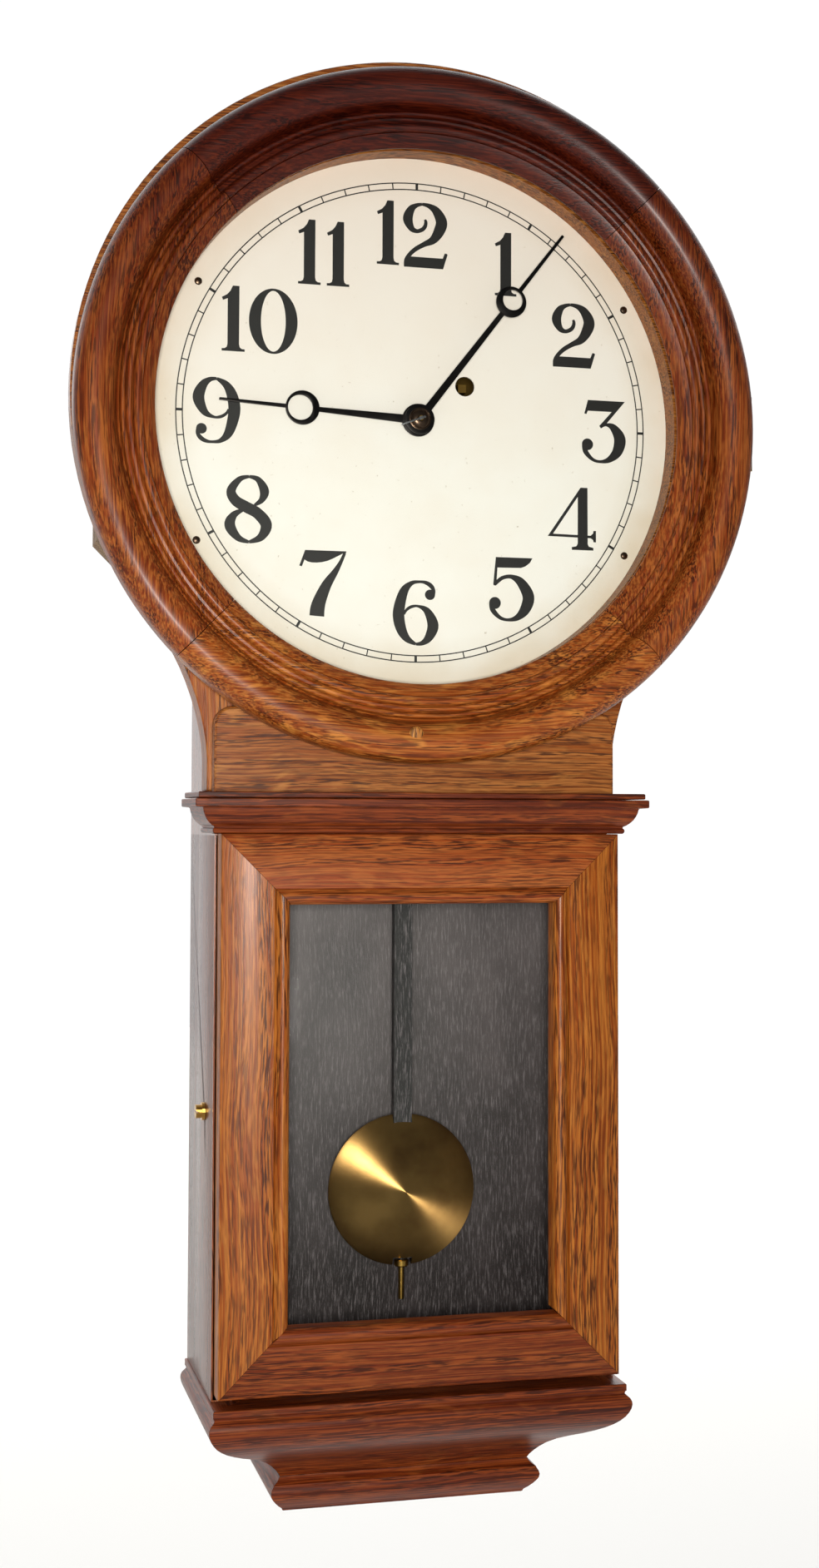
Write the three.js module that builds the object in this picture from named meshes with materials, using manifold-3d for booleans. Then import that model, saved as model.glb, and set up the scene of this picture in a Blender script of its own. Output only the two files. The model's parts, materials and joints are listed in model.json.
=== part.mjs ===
import * as THREE from 'three';
import { mergeVertices } from 'three/addons/utils/BufferGeometryUtils.js';
import Module from 'manifold-3d';

// Weight-driven schoolroom wall clock: round head, glazed drop case, pendulum.
// Millimetres. X to the right, Y into the wall, Z up. The origin is on the wall, on the dial's axis.
// "Depth" means distance in front of the wall, so a point at depth d has y = -d.

// ---- driving dimensions ----
const gap = 0.3;                  // clearance between pieces that touch

const dialOpening = 152.4;        // radius of the bezel's opening
const dialDepth = 86;             // front of the dial
const bezelWidth = 44.9;
const bezelThickness = 20.2;
const headMargin = 0.7;           // head ring past the bezel's outer edge
const headLift = 6;               // the head ring is centred this far above the dial
const headRingThickness = 14;
const drumMargin = 23.6;          // eight-sided drum's faces past the dial opening
const drumWall = 12;

const caseHalfWidth = 116;
const caseDepth = 93;             // wall to the front of the case
const boardThickness = 12;
const backThickness = 12;
const neckHeight = 25;            // from the bottom of the head ring to the cornice
const corniceHeight = 19.2;
const capHeight = 3.6;
const corniceReach = 24;          // how far the cornice stands in front of the case
const corniceOverhang = 14;       // and past each side
const corniceReturn = 57;         // length of its returns along the sides
const doorGap = 4.4;              // door bottom to the base
const doorHeight = 305.2;
const doorThickness = 14.6;
const doorInset = 1.5;            // door edge in from the side of the case
const stileWidth = 29.8;
const topRailWidth = 30.2;
const bottomRailWidth = 27.2;
const beadWidth = 9;
const glassThickness = 2.2;
const baseReach = 21;
const baseOverhang = 4;
const earHalfWidth = 119.3;        // at the foot of the flared ears under the head
const earFlare = 24;              // how far the ears spread on their way up
const earThickness = 20;
const neckDepth = 84;             // front of the ears
const neckPanelThickness = 10;
const baffleDepth = 40;
const baffleThickness = 4;

const plateThickness = 2;
const backPlateDepth = 15.5;      // back of the movement's back plate
const frontPlateDepth = 45;       // front of its front plate
const windingX = 29;              // winding arbor from the dial's centre
const windingZ = 22;
const escapeRadius = 20;
const pivotHeight = 77.5;         // pendulum and verge axis above the dial's centre
const centreModule = 0.9;
const thirdModule = 0.85;
const motionDistance = 15;        // centre arbor to the minute wheel's stud
const pendulumDepth = 56;
const bobHeight = -442;
const bobRadius = 43;
const bobThickness = 24;
const rodWidth = 10.6;
const rodThickness = 6;
const weightWidth = 52;
const weightHeight = 110;
const weightThickness = 20;
const weightDepth = 24;           // centre of the weight and its pulley
const cableRadius = 0.6;
const drumRadius = 6;
const pulleyRadius = 14;

const minuteAngle = 37.5;         // degrees clockwise from twelve: six and a quarter minutes past
const hourAngle = 270 + minuteAngle / 12;
const minuteHandLength = 141.3;
const minuteRingAt = 89.5;
const hourHandLength = 115;
const hourRingAt = 67.5;

// ---- sizes worked out from them ----
const bezelRadius = dialOpening + bezelWidth;
const headRadius = bezelRadius + headMargin;
const drumApothem = dialOpening + drumMargin;
const corniceTop = headLift - headRadius - neckHeight;
const caseFront = caseDepth + gap;
const neckPanelDepth = neckDepth + neckPanelThickness;
const ringFront = dialDepth + headRingThickness;
const bezelBack = ringFront + gap;
const bezelFront = bezelBack + bezelThickness;
const doorTop = corniceTop - corniceHeight - 0.2;
const doorBottom = doorTop - doorHeight;
const doorFront = caseFront + doorThickness;
const doorHalfWidth = caseHalfWidth - doorInset;
const baseTop = doorBottom - doorGap;
const insideHalfWidth = caseHalfWidth - boardThickness;
const arborDistance = Math.hypot(windingX, windingZ);

const materials = {
  oak: { color: 0x8b4215, roughness: 0.3, metalness: 0 },
  oakInside: { color: 0x7a5532, roughness: 0.7, metalness: 0 },
  blackPaint: { color: 0x2e2e2d, roughness: 0.6, metalness: 0 },
  dialWhite: { color: 0xf3ecdc, roughness: 0.5, metalness: 0 },
  glass: { color: 0xe8f0ee, roughness: 0.05, metalness: 0, transparent: true, opacity: 0.3 },
  brass: { color: 0xb5863a, roughness: 0.3, metalness: 1 },
  steel: { color: 0x8d9094, roughness: 0.35, metalness: 1 },
  blackSteel: { color: 0x17181c, roughness: 0.4, metalness: 0.8 },
  iron: { color: 0x3b3a38, roughness: 0.7, metalness: 0.6 },
};

const clock = new THREE.Group();
const wasm = await Module();
wasm.setup();

// ---- from geometry to solids and back ----
function toSolid(geometry) {
  const bare = geometry.clone();
  bare.deleteAttribute('normal');
  bare.deleteAttribute('uv');
  const merged = mergeVertices(bare, 1e-4);
  const index = [];
  const source = merged.index.array;
  for (let i = 0; i < source.length; i += 3) {
    const [a, b, c] = [source[i], source[i + 1], source[i + 2]];
    if (a !== b && b !== c && c !== a) index.push(a, b, c);
  }
  const vertProperties = new Float32Array(merged.attributes.position.array);
  if (signedVolume(vertProperties, index) < 0) {
    for (let i = 0; i < index.length; i += 3) [index[i + 1], index[i + 2]] = [index[i + 2], index[i + 1]];
  }
  return new wasm.Manifold(new wasm.Mesh({ numProp: 3, vertProperties, triVerts: new Uint32Array(index) }));
}

function signedVolume(points, index) {
  const corner = (i) => new THREE.Vector3(points[3 * i], points[3 * i + 1], points[3 * i + 2]);
  let total = 0;
  for (let i = 0; i < index.length; i += 3) {
    total += corner(index[i]).dot(corner(index[i + 1]).cross(corner(index[i + 2])));
  }
  return total;
}

function toGeometry(solid) {
  const mesh = solid.getMesh();
  const positions = [];
  for (let i = 0; i < mesh.vertProperties.length; i += mesh.numProp) {
    positions.push(...mesh.vertProperties.slice(i, i + 3));
  }
  const geometry = new THREE.BufferGeometry();
  geometry.setAttribute('position', new THREE.Float32BufferAttribute(positions, 3));
  geometry.setIndex(Array.from(mesh.triVerts));
  geometry.computeVertexNormals();
  return geometry;
}

function piece(name, solid, finish, x = 0, z = 0, turn = 0) {
  const mesh = new THREE.Mesh(toGeometry(solid), new THREE.MeshStandardMaterial(materials[finish]));
  mesh.name = name;
  mesh.position.set(x, 0, z);
  mesh.rotation.y = THREE.MathUtils.degToRad(turn);
  clock.add(mesh);
}

// ---- shapes ----
// A flat outline in X and Z, filling the depths from back to front.
function slab(shape, back, front, curveSegments = 16) {
  const geometry = new THREE.ExtrudeGeometry(shape, { depth: front - back, bevelEnabled: false, curveSegments });
  geometry.rotateX(Math.PI / 2);
  geometry.translate(0, -back, 0);
  return toSolid(geometry);
}

function outline(points) {
  return new THREE.Shape(points.map(([x, z]) => new THREE.Vector2(x, z)));
}

function disc(radius, x = 0, z = 0) {
  const shape = new THREE.Shape();
  shape.absarc(x, z, radius, 0, 2 * Math.PI);
  return shape;
}

function octagon(apothem, z) {
  const corner = apothem / Math.cos(Math.PI / 8);
  const at = (k) => [corner * Math.cos((k + 0.5) * Math.PI / 4), z + corner * Math.sin((k + 0.5) * Math.PI / 4)];
  return outline(Array.from({ length: 8 }, (_, k) => at(k)));
}

function block(x0, x1, back, front, z0, z1) {
  const geometry = new THREE.BoxGeometry(x1 - x0, front - back, z1 - z0);
  geometry.translate((x0 + x1) / 2, -(back + front) / 2, (z0 + z1) / 2);
  return toSolid(geometry);
}

// A turned piece on an axis along Y. The profile is a list of [radius, depth].
function turned(profile, segments = 16) {
  const points = profile.map(([r, depth]) => new THREE.Vector2(r, -depth));
  return toSolid(new THREE.LatheGeometry(points, segments));
}

function shaft(radius, back, front, segments = 16) {
  return turned([[0, back], [radius, back], [radius, front], [0, front]], segments);
}

function upright(radius, x, depth, z0, z1, segments = 12) {
  const geometry = new THREE.CylinderGeometry(radius, radius, z1 - z0, segments);
  geometry.rotateX(Math.PI / 2);
  geometry.translate(x, -depth, (z0 + z1) / 2);
  return toSolid(geometry);
}

// A stick whose section is a closed list of points, carried through a row of stations.
// Each station turns a section point into a place.
function swept(section, stations) {
  const positions = [];
  for (const station of stations) {
    for (const point of section) positions.push(...station(point));
  }
  const count = section.length;
  const index = [];
  for (let s = 0; s < stations.length - 1; s++) {
    for (let i = 0; i < count; i++) {
      const next = (i + 1) % count;
      const [a, b] = [s * count + i, s * count + next];
      const [c, d] = [a + count, b + count];
      index.push(a, b, d, a, d, c);
    }
  }
  const flat = section.map(([u, v]) => new THREE.Vector2(u, v));
  const last = (stations.length - 1) * count;
  const sense = THREE.ShapeUtils.isClockWise(flat) ? 1 : -1;
  for (const [a, b, c] of THREE.ShapeUtils.triangulateShape(flat, [])) {
    const [p, q] = sense > 0 ? [b, c] : [c, b];
    index.push(a, p, q, last + a, last + q, last + p);
  }
  const geometry = new THREE.BufferGeometry();
  geometry.setAttribute('position', new THREE.Float32BufferAttribute(positions, 3));
  geometry.setIndex(index);
  return toSolid(geometry);
}

function arc(cu, cv, ru, rv, from, to, steps) {
  return Array.from({ length: steps + 1 }, (_, i) => {
    const angle = THREE.MathUtils.degToRad(from + (to - from) * i / steps);
    return [cu + ru * Math.cos(angle), cv + rv * Math.sin(angle)];
  });
}

// ---- toothed wheels ----
const wheelTooth = { tip: 0.7, root: 1.15, tipShare: 0.1, rootShare: 0.2 };
const pinionLeaf = { tip: 0.65, root: 1.1, tipShare: 0.07, rootShare: 0.14 };

// A tooth is centred on the angle phase. tip and root are in modules, the shares in pitches.
function gearOutline(teeth, module, form, phase) {
  const radius = teeth * module / 2;
  const pitch = 2 * Math.PI / teeth;
  const points = [];
  for (let i = 0; i < teeth; i++) {
    const centre = phase + i * pitch;
    const corners = [
      [radius - form.root * module, -form.rootShare], [radius + form.tip * module, -form.tipShare],
      [radius + form.tip * module, form.tipShare], [radius - form.root * module, form.rootShare],
    ];
    for (const [r, share] of corners) {
      points.push([r * Math.cos(centre + share * pitch), r * Math.sin(centre + share * pitch)]);
    }
  }
  return outline(points);
}

// Cut the windows that leave a rim, a hub and four arms.
function crossOut(shape, hub, rim, armWidth) {
  for (let k = 0; k < 4; k++) {
    const start = k * Math.PI / 2;
    const inner = Math.asin(armWidth / 2 / hub);
    const outer = Math.asin(armWidth / 2 / rim);
    const window = new THREE.Path();
    window.absarc(0, 0, rim, start + outer, start + Math.PI / 2 - outer, false);
    window.absarc(0, 0, hub, start + Math.PI / 2 - inner, start + inner, true);
    window.closePath();
    shape.holes.push(window);
  }
  return shape;
}

// ---- case ----
function makeBackboard() {
  const trunk = block(-insideHalfWidth + gap, insideHalfWidth - gap, 0, backThickness,
    baseTop + gap, headLift - drumApothem / 2).subtract(slab(octagon(drumApothem + gap, headLift), -1, 99));
  const neck = block(-throatHalfWidth + gap, throatHalfWidth - gap, 0, backThickness,
    headLift - drumApothem - 2, headLift - drumApothem / 2);
  const head = slab(octagon(drumApothem - drumWall - gap, headLift), 0, backThickness);
  const keyhole = slab(disc(7, 0, 126), -1, backThickness + 1).add(
    block(-3, 3, -1, backThickness + 1, 126, 144));
  return trunk.add(neck).add(head).subtract(keyhole);
}

// Eight staves, with the bottom one left out over the neck.
function makeDrum() {
  const outer = slab(octagon(drumApothem, headLift), 0, dialDepth);
  const inner = slab(octagon(drumApothem - drumWall, headLift), -1, dialDepth + 1);
  const throat = block(-throatHalfWidth, throatHalfWidth, -1, dialDepth - 12, headLift - 2 * drumApothem, headLift);
  return outer.subtract(inner).subtract(throat);
}

const throatHalfWidth = 66;

function makeDialBoard() {
  const ring = slab(disc(dialOpening + 4.6), dialDepth - 10, dialDepth - 1 - gap, 20);
  return ring.subtract(slab(disc(dialOpening - 22.4), 0, dialDepth, 20));
}

function makeHeadRing() {
  const ring = slab(disc(headRadius, 0, headLift), dialDepth + gap, ringFront, 32);
  return ring.subtract(slab(disc(dialOpening + gap), 0, ringFront + 1, 24));
}

// The curved boards that carry the case up into the round head.
function makeEar(side) {
  const foot = corniceTop + capHeight + 0.6;
  const straight = foot + 18;
  const height = 72;
  const points = [[insideHalfWidth - boardThickness, foot], [earHalfWidth, foot]];
  for (let i = 0; i <= 8; i++) {
    const share = i / 8;
    points.push([earHalfWidth + earFlare * share ** 1.8, straight + height * share]);
  }
  points.push([earHalfWidth + earFlare, headLift - 60], [insideHalfWidth - boardThickness, headLift - 60]);
  const board = slab(outline(points.map(([x, z]) => [side * x, z])), neckDepth - earThickness, neckDepth);
  return board.subtract(slab(octagon(drumApothem + gap, headLift), 0, neckDepth + 1));
}

function makeNeckPanel() {
  const half = panelHalfWidth;
  const corner = 11;
  const shoulder = headLift - Math.sqrt(headRadius ** 2 - (half - corner) ** 2) - 1.5;
  const shape = new THREE.Shape();
  shape.moveTo(-half, corniceBottom);
  shape.lineTo(half, corniceBottom);
  shape.absarc(half - corner, shoulder - corner, corner, 0, Math.PI / 2);
  shape.lineTo(half - corner, headLift - headRadius / 2);
  shape.lineTo(corner - half, headLift - headRadius / 2);
  shape.absarc(corner - half, shoulder - corner, corner, Math.PI / 2, Math.PI);
  const panel = slab(shape, neckDepth + gap, neckPanelDepth, 6);
  return panel.subtract(slab(disc(headRadius + gap, 0, headLift), 0, ringFront, 32));
}

const panelHalfWidth = caseHalfWidth + 0.8;
const corniceBottom = corniceTop - corniceHeight;
const corniceHalfWidth = caseHalfWidth + corniceOverhang;
const corniceFront = caseDepth + corniceReach;

// A slice with a rectangular bottom and top, both with their back edge on the wall.
function frustum(half0, half1, front0, front1, z0, z1) {
  const ring = (half, front, z) => [[-half, 0, z], [half, 0, z], [half, -front, z], [-half, -front, z]];
  const positions = [...ring(half0, front0, z0), ...ring(half1, front1, z1)].flat();
  const index = [0, 1, 2, 0, 2, 3, 4, 6, 5, 4, 7, 6];
  for (let i = 0; i < 4; i++) {
    const next = (i + 1) % 4;
    index.push(i, i + 4, next, next, i + 4, next + 4);
  }
  const geometry = new THREE.BufferGeometry();
  geometry.setAttribute('position', new THREE.Float32BufferAttribute(positions, 3));
  geometry.setIndex(index);
  return toSolid(geometry);
}

// A moulding round the front and both sides, given down its face as [set back, height].
function stacked(face, halfWidth, front) {
  const slices = face.slice(1).map(([d, z], i) => {
    const [above, top] = face[i];
    return frustum(halfWidth - d, halfWidth - above, front - d, front - above, z, top);
  });
  return slices.reduce((whole, slice) => whole.add(slice));
}

// A plan outline in X and depth, standing from z0 to z1.
function standing(points, z0, z1) {
  const shape = outline(points.map(([x, depth]) => [x, -depth]));
  const geometry = new THREE.ExtrudeGeometry(shape, { depth: z1 - z0, bevelEnabled: false });
  geometry.translate(0, 0, z0);
  return toSolid(geometry);
}

function corniceRing(face) {
  const well = block(-panelHalfWidth - gap, panelHalfWidth + gap, -1, neckPanelDepth + gap,
    corniceBottom - 10, corniceTop + 10);
  const behind = block(-corniceHalfWidth - 1, corniceHalfWidth + 1, -1, corniceFront - corniceReturn,
    corniceBottom - 10, corniceTop + 10);
  return stacked(face, corniceHalfWidth, corniceFront).subtract(well).subtract(behind);
}

// The cornice in three, mitred at the corners: 0 front, -1 left, 1 right.
function makeCornice(part) {
  const drop = (share) => corniceTop - share * corniceHeight;
  const face = [
    [0, corniceTop], [0.3, drop(0.23)], [4.6, drop(0.31)], [6, drop(0.42)], [8.2, drop(0.62)],
    [11.7, drop(0.78)], [11.9, drop(0.83)], [11.9, drop(1)],
  ];
  const [half, front] = [corniceHalfWidth, corniceFront];
  const inner = half - panelHalfWidth - gap;
  const [low, high] = [corniceBottom - 1, corniceTop + 1];
  const shift = gap * Math.SQRT1_2;
  if (part === 0) {
    const plan = [[-half - 2 + shift, front + 2], [half + 2 - shift, front + 2], [half - inner - shift, front - inner],
      [half - inner - shift, 0], [inner - half + shift, 0], [inner - half + shift, front - inner]];
    return corniceRing(face).intersect(standing(plan, low, high));
  }
  const plan = [[half + 2 + shift, front + 2], [half - inner, front - inner - shift], [half - inner, 0],
    [half + 2 + shift, 0]];
  return corniceRing(face).intersect(standing(plan.map(([x, depth]) => [part * x, depth]), low, high));
}

function makeCorniceCap() {
  return corniceRing([[1.8, corniceTop + capHeight], [1.8, corniceTop + gap]]);
}

// The boards run up past the cornice to the drum, behind the neck panel and the ears.
function makeCaseSide(side) {
  const [x0, x1] = [side * insideHalfWidth, side * caseHalfWidth].sort((a, b) => a - b);
  const board = block(x0, x1, 0, caseDepth, baseTop + gap, corniceBottom - gap)
    .add(block(x0, x1, 0, neckDepth, corniceBottom - 1, corniceTop + capHeight + gap))
    .add(block(x0, x1, 0, neckDepth - earThickness - gap, corniceTop, headLift - 100))
    .subtract(slab(octagon(drumApothem + gap, headLift), -1, neckDepth + 1));
  return side < 0 ? board.subtract(turnedAlongX(3.3, -caseHalfWidth - 1, -insideHalfWidth + 1)) : board;
}

function makeBaffle() {
  return block(gap - insideHalfWidth, insideHalfWidth - gap, baffleDepth - baffleThickness, baffleDepth,
    baseTop + gap, corniceTop - 5);
}

const baseHalfWidth = caseHalfWidth + baseOverhang;
const baseFront = caseDepth + baseReach;

// The base swells under the door, then sweeps back and in to a waist.
function makeBase() {
  const face = [
    [2.5, 0], [3, 4.5], [0.6, 7.5], [0, 10.5], [2.4, 15], [5.4, 19.5], [10.4, 24.5], [17.6, 29.4],
    [28, 34.6], [36.8, 39.4], [42.6, 44.2], [46.2, 48.2], [47.4, 50.7],
  ];
  return stacked(face.map(([d, fall]) => [d, baseTop - fall]), baseHalfWidth, baseFront);
}

function makeFoot() {
  const face = [[47.4, 51], [44.6, 54.4], [42.2, 57.4], [41.6, 60], [43, 64], [48.8, 69.4], [52, 71]];
  return stacked(face.map(([d, fall]) => [d, baseTop - fall]), baseHalfWidth, baseFront);
}

// ---- door ----
const latchZ = doorTop - doorHeight / 2 - 3.6;
const latchDepth = 63;

function turnedAlongX(radius, x0, x1, segments = 16) {
  const geometry = new THREE.CylinderGeometry(radius, radius, x1 - x0, segments);
  geometry.rotateZ(Math.PI / 2);
  geometry.translate((x0 + x1) / 2, -latchDepth, latchZ);
  return toSolid(geometry);
}

function doorSection() {
  const front = doorFront;
  const seat = caseFront + 1.5 + glassThickness + gap;
  return [
    [0, caseFront], [0, front], [stileWidth, front], [stileWidth + 0.8, front + 1.4],
    [stileWidth + 3.2, front + 2.6], [stileWidth + 6, front + 1.5], [stileWidth + 7.6, front - 2],
    [stileWidth + 8.2, front - 6.5], [stileWidth + beadWidth, front - 8], [stileWidth + beadWidth, seat],
    [stileWidth, seat], [stileWidth, caseFront],
  ];
}

function railInset(inset, railWidth) {
  return inset < stileWidth ? inset * railWidth / stileWidth : inset - stileWidth + railWidth;
}

// side 0 top, 1 right, 2 bottom, 3 left; the corners are mitred.
function makeDoorStick(side) {
  const corners = (inset) => {
    const [x, top, bottom] = [doorHalfWidth - inset, doorTop - railInset(inset, topRailWidth),
      doorBottom + railInset(inset, bottomRailWidth)];
    return [[-x, top], [x, top], [x, bottom], [-x, bottom]];
  };
  const trim = [[1, 0], [0, -1], [-1, 0], [0, 1]][side];
  const end = (which, sense) => ([inset, depth]) => {
    const [x, z] = corners(inset)[(side + which) % 4];
    return [x + sense * trim[0] * gap / 2, -depth, z + sense * trim[1] * gap / 2];
  };
  return swept(doorSection(), [end(0, 1), end(1, -1)]);
}

function makeDoorGlass() {
  const edge = stileWidth + 0.6;
  const back = caseFront + 1.5;
  return block(edge - doorHalfWidth, doorHalfWidth - edge, back, back + glassThickness,
    doorBottom + railInset(edge, bottomRailWidth), doorTop - railInset(edge, topRailWidth));
}

// One knob outside, a spindle through the side board and a tongue inside, all in one.
function makeLatch() {
  const outside = -caseHalfWidth - gap;
  const knob = turnedAlongX(3.8, outside - 5, outside - 1.6).add(turnedAlongX(5, outside - 1.6, outside));
  const slot = block(outside - 6, outside - 3.8, latchDepth - 5, latchDepth + 5, latchZ - 0.6, latchZ + 0.6);
  const spindle = turnedAlongX(2.8, outside - 1, -insideHalfWidth + gap + 2);
  const tongue = block(-insideHalfWidth + gap, -insideHalfWidth + gap + 2, latchDepth - 6, caseFront - 1,
    latchZ - 4, latchZ + 4);
  return knob.subtract(slot).add(spindle).add(tongue);
}

// ---- hinges ----
const hinge = { barrel: 1.3, pin: 0.6, leaf: 0.6, reach: 11 };

// A butt hinge on an upright axis. The fixed leaf lies behind the axis and carries the pin.
function makeHinge(face, movingFace, axisDepth, middle, height) {
  const axisX = face + hinge.leaf + gap + hinge.barrel;
  const half = height / 2;
  const third = height / 6;
  const plate = (from, back, front) => block(from + gap, from + gap + hinge.leaf, back, front,
    middle - half, middle + half);
  const barrel = (z0, z1) => upright(hinge.barrel, axisX, axisDepth, z0, z1);
  const web = (from, back, front, z0, z1) => block(from + gap, axisX, back, front, z0, z1);
  const ends = [[middle - half, middle - third - gap], [middle + third + gap, middle + half]];
  let fixed = plate(face, axisDepth - hinge.reach, axisDepth - 1.2)
    .add(upright(hinge.pin, axisX, axisDepth, middle - half, middle + half));
  for (const [z0, z1] of ends) {
    fixed = fixed.add(barrel(z0, z1)).add(web(face, axisDepth - 1.8, axisDepth - 0.8, z0, z1));
  }
  const knuckle = barrel(middle - third, middle + third).add(
    web(movingFace, axisDepth + 0.8, axisDepth + 1.8, middle - third, middle + third));
  const moving = plate(movingFace, axisDepth + 1.2, axisDepth + hinge.reach).add(knuckle)
    .subtract(upright(hinge.pin + gap, axisX, axisDepth, middle - half, middle + half));
  return { fixed, moving };
}

// ---- bezel ----
// Round the face from the glass rebate: sloping lip, small round, cove, bead, then the big torus.
function bezelSection() {
  const [back, front] = [bezelBack, bezelFront];
  const r = dialOpening;
  const torusIn = r + 21.8;
  const torusHalf = (bezelRadius - torusIn) / 2;
  return [
    [r + 4.8, back], [r + 4.8, back + 3.6], [r, back + 3.6], [r, front - 14.5], [r + 7, front - 9.5],
    [r + 7.3, front - 10.4], ...arc(r + 10.1, front - 10, 2.5, 2.6, 175, 5, 5), [r + 13.2, front - 12.2],
    [r + 16.2, front - 12.4], ...arc(r + 18.2, front - 11.4, 1.5, 2.1, 170, 0, 4), [r + 20.7, front - 13],
    ...arc(torusIn + torusHalf, front - torusHalf, torusHalf, torusHalf, 180, 0, 10), [bezelRadius, back],
  ];
}

function makeBezelSegment(middleAngle) {
  const steps = 10;
  const trim = THREE.MathUtils.radToDeg(gap / 2 / dialOpening);
  const stations = Array.from({ length: steps + 1 }, (_, i) => {
    const angle = THREE.MathUtils.degToRad(middleAngle - 45 + trim + (90 - 2 * trim) * i / steps);
    return ([r, depth]) => [r * Math.cos(angle), -depth, r * Math.sin(angle)];
  });
  return swept(bezelSection(), stations);
}

// ---- dial and hands ----
const screwAngle = 30;
const screwCircle = dialOpening - 6;

function makeDial() {
  const shape = disc(dialOpening + 4.6);
  shape.holes.push(disc(5), disc(5.75, windingX, windingZ));
  for (const [x, z] of screwPlaces()) shape.holes.push(disc(1.6, x, z));
  return slab(shape, dialDepth - 1, dialDepth, 12);
}

function screwPlaces() {
  return [180 - screwAngle, screwAngle, 180 + screwAngle, -screwAngle].map((degrees) => {
    const angle = THREE.MathUtils.degToRad(degrees);
    return [screwCircle * Math.cos(angle), screwCircle * Math.sin(angle)];
  });
}

function makeDialScrew() {
  return turned([[0, dialDepth - 0.99], [1.2, dialDepth - 0.99], [1.2, dialDepth + gap],
    [2.2, dialDepth + gap], [2.1, dialDepth + 0.9], [1.2, dialDepth + 1.5], [0, dialDepth + 1.7]], 12);
}

// A hand pointing to twelve: hub, tapering arm, moon ring with its hole set outwards, blunt pointer.
function makeHand(hand) {
  const { hub, bore, ringAt, ringOut, ringIn, length, arm, neck, tip, back, thickness } = hand;
  const [front, clear] = [back + thickness, 1];
  const body = slab(disc(hub), back, front, 10);
  const taper = (from, to, near, far) => slab(outline([[-near / 2, from], [near / 2, from], [far / 2, to],
    [-far / 2, to]]), back, front);
  const ring = slab(disc(ringOut, 0, ringAt), back, front, 10);
  const hole = disc(ringIn, 0, ringAt + (ringOut - ringIn) / 2);
  return body.add(taper(hub * 0.6, ringAt - ringIn, arm, neck)).add(ring)
    .add(taper(ringAt + ringOut - 0.5, length, neck - 0.5, tip))
    .subtract(slab(hole, back - clear, front + clear, 10))
    .subtract(slab(disc(bore), back - clear, front + clear, 8));
}

const pipe = { arbor: 1.5, cannonIn: 1.8, cannonOut: 2.8, hourIn: 3.1, hourOut: 4 };
const hourHandBack = dialDepth + 4;
const minuteHandBack = dialDepth + 7.6;

function makeHourHand() {
  return makeHand({ hub: 9.4, bore: pipe.hourOut + gap, ringAt: hourRingAt, ringOut: 9.7, ringIn: 7.2,
    length: hourHandLength, arm: 4.6, neck: 2.6, tip: 1.4, back: hourHandBack, thickness: 1.2 });
}

function makeMinuteHand() {
  return makeHand({ hub: 8.6, bore: pipe.arbor + gap, ringAt: minuteRingAt, ringOut: 9, ringIn: 6,
    length: minuteHandLength, arm: 4.4, neck: 3, tip: 1.6, back: minuteHandBack, thickness: 1.2 });
}

function makeCollet() {
  const back = minuteHandBack + 1.2 + gap;
  return turned([[pipe.arbor + gap, back], [5.8, back], [5.2, back + 0.9], [3.4, back + 1.5],
    [pipe.arbor + gap, back + 1.6], [pipe.arbor + gap, back]], 16);
}

const handPinDepth = minuteHandBack + 1.2 + gap + 1.6 + gap + 0.6;
const handPinTilt = THREE.MathUtils.degToRad(-21);

function makeHandPin() {
  const geometry = new THREE.CylinderGeometry(0.4, 0.6, 15, 8);
  geometry.rotateZ(Math.PI / 2);
  geometry.translate(-4.8, -handPinDepth, 0);
  geometry.rotateY(handPinTilt);
  return toSolid(geometry);
}

// ---- movement ----
const frontPlateBack = frontPlateDepth - plateThickness;
const backPlateFront = backPlateDepth + plateThickness;
const plateCorners = { left: -42, right: 66, bottom: -42, top: 100 };
const pillarInset = 6;
const layers = {
  centreWheel: 40, thirdPinion: 39, greatWheel: 36, centrePinion: 35, ratchet: 33.4, thirdWheel: 31.4,
  escapePinion: 30.4, drumBack: 20.5, escapeWheel: 24, motionLower: 46, motionUpper: 49,
};
const wheelThickness = 1.5;
const greatTeeth = 72;
const centreTeeth = 60;
const thirdTeeth = 50;
const escapeTeeth = 30;
const pinionLeaves = 6;
const cannonTeeth = 12;
const minuteTeeth = 36;
const minutePinionTeeth = 10;
const hourTeeth = 40;
const greatModule = 2 * arborDistance / (greatTeeth + pinionLeaves);
const minuteModule = 2 * motionDistance / (cannonTeeth + minuteTeeth);
const hourModule = 2 * motionDistance / (minutePinionTeeth + hourTeeth);

const escapeZ = pivotHeight - escapeRadius * Math.SQRT2;
const centreToThird = centreModule * (centreTeeth + pinionLeaves) / 2;
const thirdToEscape = thirdModule * (thirdTeeth + pinionLeaves) / 2;
const thirdZ = (centreToThird ** 2 - thirdToEscape ** 2 + escapeZ ** 2) / (2 * escapeZ);
const thirdX = -Math.sqrt(centreToThird ** 2 - thirdZ ** 2);
const studAngle = Math.PI * 7 / 6;
const studX = motionDistance * Math.cos(studAngle);
const studZ = motionDistance * Math.sin(studAngle);

// The angle of the first tooth, so that a gap or a tooth faces the mating wheel.
const facing = (dx, dz) => Math.atan2(dz, dx);
const gapTowards = (dx, dz, teeth) => facing(dx, dz) + Math.PI / teeth;

function pivotHoles() {
  return [[0, 0, 2], [thirdX, thirdZ, 1.5], [0, escapeZ, 1.5], [0, pivotHeight, 1.5], [windingX, windingZ, 2.5]];
}

function plateOutline() {
  const { left, right, bottom, top } = plateCorners;
  return outline([[left, bottom], [right, bottom], [right, top], [left, top]]);
}

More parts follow.
